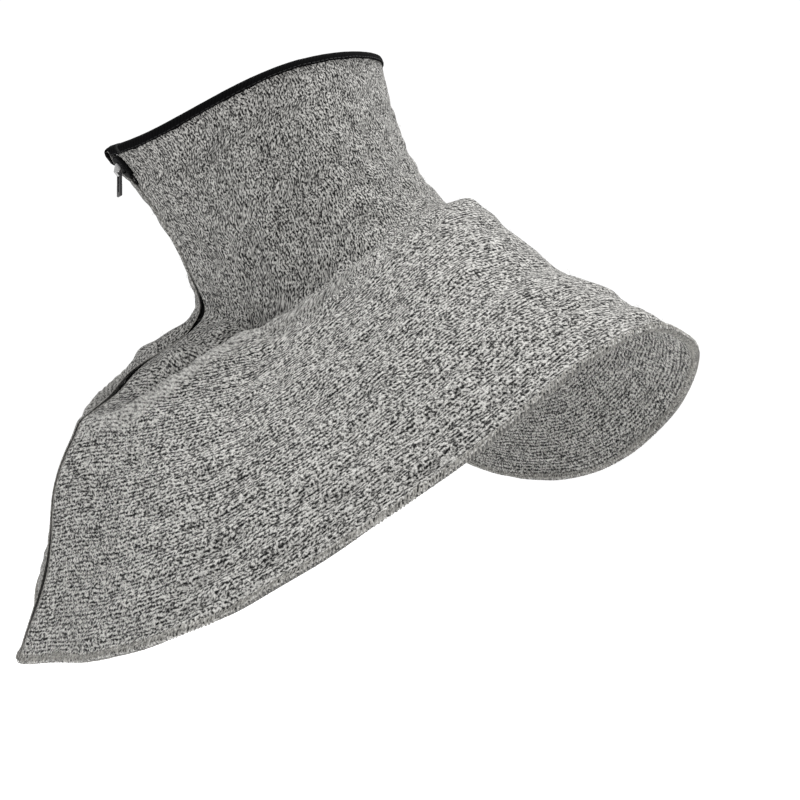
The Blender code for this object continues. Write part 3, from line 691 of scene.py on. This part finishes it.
def threadPiece(name, path, radius, sides, normals, material):
    # round threads, one along each path (n, steps, 3)
    along = unit(np.gradient(path, axis=1))
    first = unit(np.cross(along, normals))
    second = np.cross(first, along)
    turn = np.linspace(0, 2 * math.pi, sides, endpoint=False)[:, None]
    ring = np.cos(turn) * first[:, :, None, :] + np.sin(turn) * second[:, :, None, :]
    rings = path[:, :, None, :] + radius[..., None, None] * ring
    count, steps = rings.shape[:2]
    faces = [face for n in range(count) for face in ringFaces(n * steps * sides, steps, sides)]
    return newPiece(name, rings.reshape(-1, 3), faces, material)


# hemRows: metres above the hem of the rows that round it off; edgeShare: what an edge keeps of the wall
knitMesh = {
    "columns": 400, "rows": 184, "hemRows": (0.00035, 0.0009, 0.0018, 0.0032), "edgeShare": 0.45,
    "collarEnd": (0.48, 0.38), "insideShift": 0.7,
}


def knitRuns():
    hemRows = [float(runAboveHem(distance)) for distance in knitMesh["hemRows"]] + [hemStepRun]
    plain = np.linspace(0.0, 1.0, knitMesh["rows"] - len(hemRows))
    return np.sort(np.concatenate([plain, hemRows]))


def makeKnitGrid(runs):
    # angles from the left front edge round the back to the right one, for each run
    count = knitMesh["columns"]
    edge = angleBehind(edgeAt(runs), runs, wallAt(runs) / 2)[:, None]
    half = (count - 1) / 2
    index = np.arange(count)
    near = np.minimum(index, count - 1 - index) / half
    share = np.where(index <= half, 0.5 * near, 1 - 0.5 * near)
    angles = edge + (2 * math.pi - 2 * edge) * share[None, :]
    return angles, np.broadcast_to(runs[:, None], angles.shape)


def roundedDepth(distance, wall):
    # half the wall, rounded off towards an edge of the cloth
    radius, keep = wall / 2, knitMesh["edgeShare"]
    t = np.clip(distance / radius, 0.0, 1.0)
    return radius * (keep + (1 - keep) * np.sqrt(np.clip(1 - (1 - t) ** 2, 0.0, 1.0)))


def makeKnit():
    runs = knitRuns()
    angles, runGrid = makeKnitGrid(runs)
    middle = softCloth(angles, runGrid)
    step = np.linalg.norm(np.diff(middle, axis=1), axis=-1)
    fromLeft = np.concatenate([np.zeros((len(runs), 1)), np.cumsum(step, axis=1)], axis=1)
    fromEdge = np.minimum(fromLeft, fromLeft[:, -1:] - fromLeft)
    rise = np.linalg.norm(np.diff(middle, axis=0), axis=-1)
    fromRim = np.concatenate([np.zeros((1, middle.shape[1])), np.cumsum(rise, axis=0)], axis=0)
    fromHem = fromRim[-1:] - fromRim
    wall = wallAt(runGrid)
    depth = np.minimum(roundedDepth(fromHem, wall), roundedDepth(fromEdge, wall))
    # the inner face has every second point of the outer one
    outer = offset(angles, runGrid, depth)
    inner = offset(angles[::2, ::2], runGrid[::2, ::2], -depth[::2, ::2])
    rows, columns = outer.shape[:2]
    innerRows, innerColumns = inner.shape[:2]
    start = rows * columns
    faces = gridFaces(rows, columns) + gridFaces(innerRows, innerColumns, start, turned=True)
    at = np.arange(start).reshape(rows, columns)
    behind = start + np.arange(innerRows * innerColumns).reshape(innerRows, innerColumns)
    faces += stitchedBorder(at[0].tolist(), behind[0].tolist(), turned=True)
    faces += stitchedBorder(at[-1].tolist(), behind[-1].tolist())
    faces += stitchedBorder(at[:, 0].tolist(), behind[:, 0].tolist())
    faces += stitchedBorder(at[:, -1].tolist(), behind[:, -1].tolist(), turned=True)
    # uv: share of the way along the row, and metres above the hem
    uv = np.stack([fromLeft / fromLeft[:, -1:], fromHem], -1)
    uvs = np.concatenate([uv.reshape(-1, 2), uv[::2, ::2].reshape(-1, 2) + knitMesh["insideShift"]])
    points = np.concatenate([outer.reshape(-1, 3), inner.reshape(-1, 3)])
    # painted light carried at the points: painted shade for the hollow, a painted highlight for the ridge
    sunk, paintedHighlight = collarbonePaintedLight(angles, runGrid)
    collarShare = smoothStep(*knitMesh["collarEnd"], runGrid)
    values = {"collarShare": collarShare, "run": runGrid, "sunk": sunk, "paintedHighlight": paintedHighlight}
    values = {label: np.concatenate([grid.ravel(), grid[::2, ::2].ravel()]) for label, grid in values.items()}
    knit = newPiece("knit_cloth", points, faces, knitMaterial, uvs, values)
    area = float((step[:-1] * rise[:, :-1]).sum())
    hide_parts("knit_body")
    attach(knit, "guard")
    hemLength = round(float(fromLeft[-1, -1]), 3)
    print("knit:", len(faces), "faces, cloth area", round(area, 4), "m2, hem", hemLength, "m")
    return knit, area


knit, knitArea = makeKnit()

# waves: length and share of each; legShares: rows of a leg from its lower edge up
rimBinding = {
    "columns": 520, "endFold": 0.0068, "endFoldEdge": 0.0003, "endFoldLine": 0.00035, "foldRise": 0.00028,
    "waves": ((0.031, 0.5), (0.013, 0.3), (0.0066, 0.35)), "wave": 0.00022, "faceWave": 0.3, "legWave": 0.13,
    "puff": 0.00016, "tuck": 0.00018, "legShares": (1.0, 0.92, 0.7, 0.45, 0.2), "seed": 5,
}


def makeBinding():
    near = shape["knitWall"] / 2 + shape["fit"]
    far = near + shape["bindingWall"]
    top = shape["fit"] + shape["bindingWall"]
    rimRun = np.zeros(1)
    end = float(angleBehind(edgeAt(rimRun), rimRun, far)[0])
    angles = np.linspace(end, 2 * math.pi - end, rimBinding["columns"])
    rim = cloth(angles, 0.0)
    along = distanceAlong(rim)
    fold, foldEdge = rimBinding["endFold"], rimBinding["endFoldEdge"]
    folded = smoothStep(fold + foldEdge, fold - foldEdge, np.minimum(along, along[-1] - along))
    rng = np.random.default_rng(rimBinding["seed"])
    wave = sum(
        size * np.sin(along * 2 * math.pi / length + rng.uniform(0, 6.28))
        for length, size in rimBinding["waves"]
    )
    upward = unit(rim - cloth(angles, 0.02))
    normal = normalOf(softCloth, angles, np.zeros_like(angles))
    face = far + (folded * rimBinding["foldRise"] + rimBinding["wave"] * rimBinding["faceWave"] * wave)
    rise = top + 0.5 * (face - far)
    legRun = float(runBelowRim(shape["bindingShown"]))
    leg = legRun * (1 + rimBinding["legWave"] * wave)
    rings, downs = [], []
    for side in (1, -1):
        for share in rimBinding["legShares"][::side]:
            lift = -rimBinding["tuck"] if share == 1.0 else rimBinding["puff"] * math.sin(math.pi * share)
            rings.append(offset(angles, leg * share, side * (face + lift)))
            downs.append(side * share * shape["bindingShown"])
        if side < 0:
            break
        for turn in range(0, 181, 30):
            across, up = math.cos(math.radians(turn)), math.sin(math.radians(turn))
            rings.append(rim + (across * face)[:, None] * normal + (up * rise)[:, None] * upward)
            downs.append(0.0003 * (90 - turn) / 90)
    # back up inside the fold, round the edge of the knit
    for depth, share in ((-near, 1.0), (-near, 0.0), (near, 0.0), (near, 1.0)):
        inside = offset(angles, legRun * share, np.full_like(angles, depth))
        rings.append(inside + (shape["fit"] * upward if share == 0.0 else 0.0))
        downs.append(0.02)
    loop = np.stack(rings, axis=1)
    count, sides = loop.shape[:2]
    faces = ringFaces(0, count, sides)
    uvs = np.stack(np.broadcast_arrays(along[:, None], np.array(downs)[None, :]), -1).reshape(-1, 2)
    values = {"endFold": np.repeat(hump(along, fold, rimBinding["endFoldLine"]), sides)}
    binding = newPiece("rim_binding", loop.reshape(-1, 3), faces, bindingMaterial, uvs, values)
    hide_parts("collar_binding")
    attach(binding, "guard")
    print("binding:", len(faces), "faces")
    return binding, angles, along, legRun, face


binding, rimAngles, rimAlong, legRun, bindingFace = makeBinding()

bindingSeam = {
    "pitch": 0.0026, "length": 0.0019, "above": 0.28, "radius": 0.00017, "steps": 5, "sides": 5,
    "proud": 0.75, "dip": 3.2,
}


def makeBindingSeam():
    # running stitches through the binding, on both faces
    pitch, thick = bindingSeam["pitch"], bindingSeam["radius"]
    middles = (np.arange(int(rimAlong[-1] / pitch)) + 0.5) * pitch
    t = np.linspace(-0.5, 0.5, bindingSeam["steps"])
    at = middles[:, None] + t[None, :] * bindingSeam["length"]
    angles = np.interp(at, rimAlong, rimAngles)
    face = np.interp(at, rimAlong, bindingFace)
    run = legRun * (1 - bindingSeam["above"])
    lift = thick * (bindingSeam["proud"] - bindingSeam["dip"] * t ** 2)[None, :]
    path = np.concatenate([offset(angles, run, side * (face + lift)) for side in (1, -1)])
    normals = normalOf(softCloth, angles, np.full_like(angles, run))
    radius = np.full(path.shape[:2], thick)
    normals = np.concatenate([normals, normals])
    seam = threadPiece("binding_seam", path, radius, bindingSeam["sides"], normals, blackThread)
    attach(seam, "guard")
    return seam


bindingStitches = makeBindingSeam()


def zipFrames(runs):
    # place, left, down and out of the chain's middle at each run
    zero, step = np.zeros_like(runs), 0.004
    span = cloth(zero, np.clip(runs + step, 0, 1)) - cloth(zero, np.clip(runs - step, 0, 1))
    down = unit(span)
    left = np.broadcast_to(np.array([1.0, 0.0, 0.0]), down.shape)
    out = np.cross(left, down)
    out *= -np.sign(out[..., 1:2])
    depth = wallAt(runs) / 2 + shape["fit"] + shape["chainBelow"] + shape["chainWall"] / 2
    return cloth(zero, runs) - depth[..., None] * out, left, down, out


def inFrame(parts, local):
    place, left, down, out = parts
    local = np.asarray(local, float)
    return place + local[..., 0:1] * left + local[..., 1:2] * down + local[..., 2:3] * out


zipTape = {"rows": 190, "columns": 9, "uvWidth": 0.0115}


def makeTape(name, node, side):
    low = float(runBelowRim(shape["bindingLeg"] + shape["fit"]))
    high = float(runAboveHem(shape["tapeInset"]))
    runs = np.linspace(low, high, zipTape["rows"])
    depth = wallAt(runs) / 2 + shape["fit"]
    gap = np.full_like(runs, shape["chainWidth"] / 2 + shape["fit"])
    inner = angleBehind(gap, runs, depth + shape["tapeWall"])[:, None]
    outer = angleAt(np.full_like(runs, shape["tapeReach"]), runs)[:, None]
    share = np.linspace(0.0, 1.0, zipTape["columns"])[None, :]
    angles = side * (inner + (outer - inner) * share)
    grid = np.broadcast_to(runs[:, None], angles.shape)
    front, back = [
        offset(angles, grid, np.broadcast_to(-depth[:, None] - wall, angles.shape)).reshape(-1, 3)
        for wall in (0.0, shape["tapeWall"])
    ]
    rows, columns = angles.shape
    start = rows * columns
    faces = gridFaces(rows, columns) + gridFaces(rows, columns, start, turned=True)
    at = np.arange(start).reshape(rows, columns)
    border = np.concatenate([at[0], at[1:, -1], at[-1, ::-1][1:], at[::-1, 0][1:-1]])
    for a, b in zip(border, np.roll(border, -1)):
        faces.append((int(b), int(a), int(a) + start, int(b) + start))
    uv = np.stack(np.broadcast_arrays(share * zipTape["uvWidth"], belowRim(runs)[:, None]), -1).reshape(-1, 2)
    uvs = np.concatenate([uv, uv + 0.5])
    tape = newPiece(name, np.concatenate([front, back]), faces, tapeMaterial, uvs)
    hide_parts(node)
    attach(tape, "guard")
    return tape


tapes = [makeTape("tape_left", "zip_tape_left", 1), makeTape("tape_right", "zip_tape_right", -1)]

# sections: way out from the middle line as a share of half the chain, then shares of length and thickness
zipTeeth = {
    "pitch": 0.0014, "length": 0.00046, "thick": 0.0014, "corners": 8, "square": 0.6,
    "sections": ((1.0, 0.8, 0.72), (0.86, 1.0, 1.0), (0.30, 1.0, 0.94), (0.0, 1.5, 0.90)),
    "reach": 0.0003, "tip": (1.1, 0.66),
}


def makeTeeth():
    # two rows of short nylon teeth that mesh on the middle line
    half, pitch = shape["chainWidth"] / 2, zipTeeth["pitch"]
    first = shape["bindingLeg"] + shape["sliderBelow"] + shape["sliderLength"] / 2
    last = frontLine[-1] - (shape["hemBand"] + shape["stopAbove"] + shape["stopLength"] + shape["fit"])
    count = int((last - first - pitch) / pitch)
    ring = zipTeeth["corners"]
    turn = np.linspace(0, 2 * math.pi, ring, endpoint=False) + math.pi / ring
    corner = np.stack([np.cos(turn), np.sin(turn)], -1)
    corner = np.sign(corner) * np.abs(corner) ** zipTeeth["square"]
    sections = [(half * share, long, thick) for share, long, thick in zipTeeth["sections"]]
    sections.append((-zipTeeth["reach"], *zipTeeth["tip"]))
    points = []
    for side in (1, -1):
        at = first + (np.arange(count) + (0.5 if side > 0 else 1.0)) * pitch
        parts = zipFrames(runBelowRim(at))
        for x, long, thick in sections:
            for c, d in corner:
                local = (side * x, c * zipTeeth["length"] * long / 2, d * zipTeeth["thick"] * thick / 2)
                points.append(inFrame(parts, np.broadcast_to(np.array(local), (count, 3))))
    faces = []
    for n in range(2 * count):
        tooth = ringFaces(n * ring * len(sections), len(sections), ring)
        faces += tooth if n % 2 else [face[::-1] for face in tooth]
    teeth = newPiece("zip_coils", np.stack(points, axis=1).reshape(-1, 3), faces, teethMaterial)
    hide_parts("zip_chain")
    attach(teeth, "guard")
    print("teeth:", 2 * count)


makeTeeth()


def roundedPlate(outline, low, high, bevel):
    # rings of an outline (x, y) from the low face to the high one, with rounded edges
    tangent = unit(np.roll(outline, -1, axis=0) - np.roll(outline, 1, axis=0))
    inward = np.stack([-tangent[:, 1], tangent[:, 0]], -1)
    rings = []
    for face, sign, turns in ((low, 1, (90, 60, 30, 0)), (high, -1, (0, 30, 60, 90))):
        for turn in np.radians(turns):
            flat = outline + inward * bevel * (1 - math.cos(turn))
            height = np.full(len(flat), face + sign * bevel * (1 - math.sin(turn)))
            rings.append(np.column_stack([flat, height]))
    return np.stack(rings)


def loftRings(rings, points, faces):
    faces += ringFaces(len(points), *rings.shape[:2])
    points.extend(rings.reshape(-1, 3).tolist())


def squaredRing(power, count):
    # x and y of a unit ring between a circle and a square
    turn = np.linspace(0, 2 * math.pi, count, endpoint=False)
    return [np.sign(part) * np.abs(part) ** (2 / power) for part in (np.cos(turn), np.sin(turn))]


def plateOutline(wide, long, power, taper=0.0, count=40, middle=(0.0, 0.0)):
    x, y = squaredRing(power, count)
    x, y = x * wide / 2, y * long / 2
    return np.column_stack([x * (1 - taper * y / (long / 2)) + middle[0], y + middle[1]])


def sweptBar(path, wide, thick, power=3.2, count=16):
    # closed bar along a path in the (y, z) plane of the slider's frame
    along = unit(np.gradient(path, axis=0))
    a, b = squaredRing(power, count)
    rings = np.empty((len(path), count, 3))
    rings[..., 0] = a * wide / 2
    rings[..., 1] = path[:, None, 0] - along[:, None, 1] * (b * thick / 2)
    rings[..., 2] = path[:, None, 1] + along[:, None, 0] * (b * thick / 2)
    return rings


sliderRun = runBelowRim(shape["bindingLeg"] + shape["sliderBelow"] + shape["sliderLength"] / 2)
sliderFrame = [part[None, :] for part in zipFrames(np.array(float(sliderRun)))]
plateFront = shape["chainWall"] / 2 + shape["fit"] + shape["sliderPlate"]

zipSlider = {
    "wide": 0.93, "power": 4.0, "taper": 0.10, "bevel": 0.00042,
    "post": {"power": 2.6, "sunk": 0.0004, "bevel": 0.0001, "count": 24},
    "lip": {"wide": 0.0011, "long": 0.86, "power": 5.0, "inset": 0.985, "ahead": 0.02,
            "bevel": 0.00028, "count": 28},
}


def makeSlider():
    # two plates joined by a post between the tapes, with a lip down each side of the lower one
    wide, long, plate = shape["sliderWidth"] * zipSlider["wide"], shape["sliderLength"], shape["sliderPlate"]
    post, lip = zipSlider["post"], zipSlider["lip"]
    inside = plateFront - plate
    points, faces = [], []
    outline = plateOutline(wide, long, zipSlider["power"], zipSlider["taper"])
    loftRings(roundedPlate(outline, inside, plateFront, zipSlider["bevel"]), points, faces)
    loftRings(roundedPlate(outline, -plateFront, -inside, zipSlider["bevel"]), points, faces)
    middle = (0.0, -long / 4)
    postLong, postTop = long / 2 - shape["fit"], inside + post["sunk"]
    outline = plateOutline(shape["sliderNeck"], postLong, post["power"], 0.0, post["count"], middle)
    loftRings(roundedPlate(outline, -postTop, postTop, post["bevel"]), points, faces)
    lipTop = -inside + (shape["chainWall"] - shape["tapeWall"])
    for side in (1, -1):
        middle = (side * (wide / 2 - lip["wide"] / 2) * lip["inset"], -long * lip["ahead"])
        outline = plateOutline(lip["wide"], long * lip["long"], lip["power"], 0.0, lip["count"], middle)
        loftRings(roundedPlate(outline, -inside - plate * 0.5, lipTop, lip["bevel"]), points, faces)
    slider = newPiece("slider_body", inFrame(sliderFrame, points), faces, sliderMaterial)
    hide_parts("zip_slider")
    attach(slider, "guard")


makeSlider()

crownShape = {
    "bend": 0.0013, "foot": 0.0007, "footLean": 0.0002, "sunk": 0.00005,
    "slopeEnd": -0.0004, "webEnd": 0.0005, "bevel": 0.0002,
}


def makeCrown():
    # an arch whose upper end is a solid wedge, with the eye for the pull below it
    half = (shape["crownLength"] - shape["crownWall"]) / 2
    high = plateFront + shape["crownRise"] - shape["crownWall"] / 2
    low = plateFront - crownShape["sunk"]
    bend, foot = crownShape["bend"], low + crownShape["foot"]
    slopeEnd, webEnd = crownShape["slopeEnd"], crownShape["webEnd"]
    path = [(-half, low), (-half + crownShape["footLean"], foot), (slopeEnd, high)]
    for turn in np.radians(np.linspace(90, 0, 7)):
        path.append((half - bend + bend * math.cos(turn), high - bend + bend * math.sin(turn)))
    path += [(half, (low + high) / 2), (half, low)]
    web = np.array([(-half, low), (webEnd, low), (webEnd, high), (slopeEnd, high), (-half, foot)])
    points, faces = [], []
    wide = shape["crownWidth"]
    loftRings(sweptBar(np.array(path), wide, shape["crownWall"]), points, faces)
    loftRings(roundedPlate(web, -wide / 2, wide / 2, crownShape["bevel"])[..., [2, 0, 1]], points, faces)
    crown = newPiece("crown_arch", inFrame(sliderFrame, points), faces, crownMaterial)
    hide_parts("slider_crown")
    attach(crown, "guard")


def dressNode(name, material):
    # a solid that is shown as it is
    obj = bpy.data.objects[name] if name in bpy.data.objects else None
    print(name, "kept" if obj else "missing")
    if obj:
        obj.data.materials.clear()
        obj.data.materials.append(material)


makeCrown()
dressNode("pull_tab", pullMaterial)
dressNode("bottom_stop", stopMaterial)

hemYarn = {
    "pitch": 0.0017, "jitter": 0.00016, "climb": 0.0042, "climbs": (0.86, 1.12), "climbPower": 1.15,
    "lean": 0.0021, "leans": (0.8, 1.2), "radius": 0.00040, "radii": (0.8, 1.15), "thin": 0.45,
    "proud": 0.25, "turn": 2.3, "sink": -0.2, "sinkLength": 0.25, "steps": 11, "sides": 6, "seed": 21,
}


def makeHemYarn():
    # overcast yarn round the hem: each stitch climbs slantwise up both faces
    angles = makeKnitGrid(np.array([0.999, 1.0]))[0][1]
    along = distanceAlong(softCloth(angles, 1.0))
    count = int(along[-1] / hemYarn["pitch"])
    rng = np.random.default_rng(hemYarn["seed"])
    middle = (np.arange(count) + 0.5) * hemYarn["pitch"] + rng.normal(0, hemYarn["jitter"], count)
    t = np.linspace(-1.0, 1.0, hemYarn["steps"])
    climb = hemYarn["climb"] * rng.uniform(*hemYarn["climbs"], count)
    above = np.abs(t)[None, :] ** hemYarn["climbPower"] * climb[:, None]
    lean = t[None, :] * hemYarn["lean"] * rng.uniform(*hemYarn["leans"], count)[:, None]
    angle = np.interp(np.clip(middle[:, None] + lean, 0.0, along[-1]), along, angles)
    run = np.clip(runAboveHem(above), 0.0, 1.0)
    side = np.sin(np.clip(t * hemYarn["turn"], -1, 1) * math.pi / 2)[None, :]
    path = offset(angle, run, (wallAt(run) / 2 + hemYarn["radius"] * hemYarn["proud"]) * side)
    beyond = unit(softCloth(angle, 1.0) - softCloth(angle, 0.985))
    sink = hemYarn["radius"] * hemYarn["sink"] * hump(t, 0.0, hemYarn["sinkLength"])
    path = path + beyond * sink[None, :, None]
    radius = hemYarn["radius"] * rng.uniform(*hemYarn["radii"], count)[:, None]
    radius = radius * (1 - hemYarn["thin"] * np.abs(t) ** 3)[None, :]
    sideways = softCloth(angle + 0.01, run) - softCloth(angle - 0.01, run)
    normals = np.cross(sideways, np.gradient(path, axis=1))
    yarn = threadPiece("hem_yarn", path, radius, hemYarn["sides"], normals, edgeYarn)
    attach(yarn, "guard")
    print("hem stitches:", count)
    return yarn


hemStitches = makeHemYarn()

edgeCord = {
    "radius": 0.00026, "swell": 0.18, "outside": 0.22, "wave": 0.00008, "waveLength": 0.0021,
    "steps": 900, "sides": 7, "leftBelow": 0.0004,
}


def makeEdgeYarn(name, side, below):
    # the light edge thread of the cloth beside the zip
    runs = np.linspace(float(runBelowRim(below)), 1.0, edgeCord["steps"])
    wall = wallAt(runs)
    edge = side * angleBehind(edgeAt(runs), runs, wall / 2)
    turns = belowRim(runs) * 2 * math.pi / edgeCord["waveLength"]
    path = offset(edge, runs, wall * edgeCord["outside"] + edgeCord["wave"] * np.sin(turns))[None]
    radius = edgeCord["radius"] * (1 + edgeCord["swell"] * np.sin(turns + 1.0))[None, :]
    normals = normalOf(softCloth, edge, runs)[None]
    cord = threadPiece(name, path, radius, edgeCord["sides"], normals, edgeYarn)
    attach(cord, "guard")
    return cord


edgeCords = [
    makeEdgeYarn("edge_yarn_left", 1, shape["bindingLeg"] + edgeCord["leftBelow"]),
    makeEdgeYarn("edge_yarn_right", -1, shape["bindingLeg"] + shape["sliderLength"]),
]

fuzzHairs = {
    "count": 1500, "length": (0.0012, 0.0042), "radius": 0.000055, "steps": 5, "sides": 3, "seed": 41,
    "fromFront": 0.12, "runs": (0.06, 0.985), "runPower": 0.8, "root": 0.0002,
    "rise": (0.25, 0.75), "riseTurn": 1.9, "thin": 0.5,
    "bend": (0.5, 1.4), "bendPower": 1.4, "bendShare": 0.8,
}


def makeFuzz():
    # loose fibres that stand off the knit
    rng = np.random.default_rng(fuzzHairs["seed"])
    count = fuzzHairs["count"]
    angle = rng.uniform(fuzzHairs["fromFront"], 2 * math.pi - fuzzHairs["fromFront"], count)
    run = rng.uniform(*fuzzHairs["runs"], count) ** fuzzHairs["runPower"]
    length = rng.uniform(*fuzzHairs["length"], count)
    base = offset(angle, run, wallAt(run) / 2 - fuzzHairs["root"])
    normal = normalOf(softCloth, angle, run)
    sideways = rng.normal(size=(count, 3))
    sideways = unit(sideways - (sideways * normal).sum(-1, keepdims=True) * normal)
    t = np.linspace(0, 1, fuzzHairs["steps"])
    rise = length * rng.uniform(*fuzzHairs["rise"], count)
    bend = length * rng.uniform(*fuzzHairs["bend"], count)
    rise = rise[:, None] * np.sin(t * fuzzHairs["riseTurn"])[None, :]
    bend = bend[:, None] * t[None, :] ** fuzzHairs["bendPower"] * fuzzHairs["bendShare"]
    path = base[:, None, :] + rise[..., None] * normal[:, None, :] + bend[..., None] * sideways[:, None, :]
    radius = fuzzHairs["radius"] * (1 - fuzzHairs["thin"] * t)[None, :] * np.ones((count, 1))
    normals = np.broadcast_to(normal[:, None, :], path.shape)
    fuzz = threadPiece("loose_fibres", path, radius, fuzzHairs["sides"], normals, edgeYarn)
    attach(fuzz, "guard")
    return fuzz


looseFibres = makeFuzz()

studio = {"floor": -0.42, "floorReach": 12.0, "floorGlow": 0.52, "room": 0.60, "backdrop": 1.05}
# place, size across, power
lamps = {
    "keyLight": ((0.45, 0.65, 2.4), 1.4, 47.0),
    "fillLight": ((0.9, -1.2, 0.3), 1.2, 0.8),
}
photoView = {
    "place": (0.49896, -0.25424, -0.050), "tilt": 90.0, "turn": 58.585, "lens": 46.62, "sensor": 36.0,
}


def areaLight(name, place, size, power):
    # a round soft light turned to the middle of the guard
    data = bpy.data.lights.new(name, "AREA")
    data.shape = "DISK"
    data.size = size
    data.energy = power
    light = bpy.data.objects.new(name, data)
    light.location = place
    light.rotation_euler = (-Vector(place)).to_track_quat("-Z", "Y").to_euler()
    bpy.context.scene.collection.objects.link(light)


def makeFloor():
    # a pale floor that glows a little for the camera alone, so that it has no horizon
    mesh = bpy.data.meshes.new("floor")
    reach, height = studio["floorReach"], studio["floor"]
    corners = [(x * reach, y * reach, height) for x, y in ((-1, -1), (1, -1), (1, 1), (-1, 1))]
    mesh.from_pydata(corners, [], [(0, 1, 2, 3)])
    floor = bpy.data.objects.new("floor", mesh)
    bpy.context.scene.collection.objects.link(floor)
    material, tree, shader = newMaterial("paleFloor", {"Roughness": 0.7, "Specular IOR Level": 0.1})
    place = put(tree, "ShaderNodeTexCoord").outputs["Object"]
    cloud = put(tree, "ShaderNodeTexNoise", {"Vector": place, "Scale": 3.0, "Detail": 2.0}).outputs[0]
    pale = mixed(tree, cloud, (0.93, 0.93, 0.93), (0.97, 0.97, 0.97))
    tree.links.new(pale, shader.inputs["Base Color"])
    seen = put(tree, "ShaderNodeLightPath").outputs["Is Camera Ray"]
    shader.inputs["Emission Color"].default_value = (1.0, 1.0, 1.0, 1.0)
    tree.links.new(ranged(tree, seen, 0.0, 1.0, 0.0, studio["floorGlow"]), shader.inputs["Emission Strength"])
    mesh.materials.append(material)


def makeWorld():
    world = bpy.data.worlds.new("paleRoom")
    world.use_nodes = True
    tree = world.node_tree
    background = tree.nodes["Background"]
    seen = put(tree, "ShaderNodeLightPath").outputs["Is Camera Ray"]
    strength = ranged(tree, seen, 0.0, 1.0, studio["room"], studio["backdrop"])
    tree.links.new(strength, background.inputs["Strength"])
    background.inputs["Color"].default_value = (1.0, 1.0, 1.0, 1.0)
    bpy.context.scene.world = world


def makeCamera():
    data = bpy.data.cameras.new("photoCamera")
    data.sensor_width = photoView["sensor"]
    data.lens = photoView["lens"]
    data.clip_start = 0.01
    camera = bpy.data.objects.new("photoCamera", data)
    camera.location = photoView["place"]
    camera.rotation_euler = (math.radians(photoView["tilt"]), 0.0, math.radians(photoView["turn"]))
    bpy.context.scene.collection.objects.link(camera)
    bpy.context.scene.camera = camera


makeFloor()
makeWorld()
makeCamera()
for lampName, lamp in lamps.items():
    areaLight(lampName, *lamp)
bpy.context.scene.view_settings.view_transform = "Standard"
print("studio made")
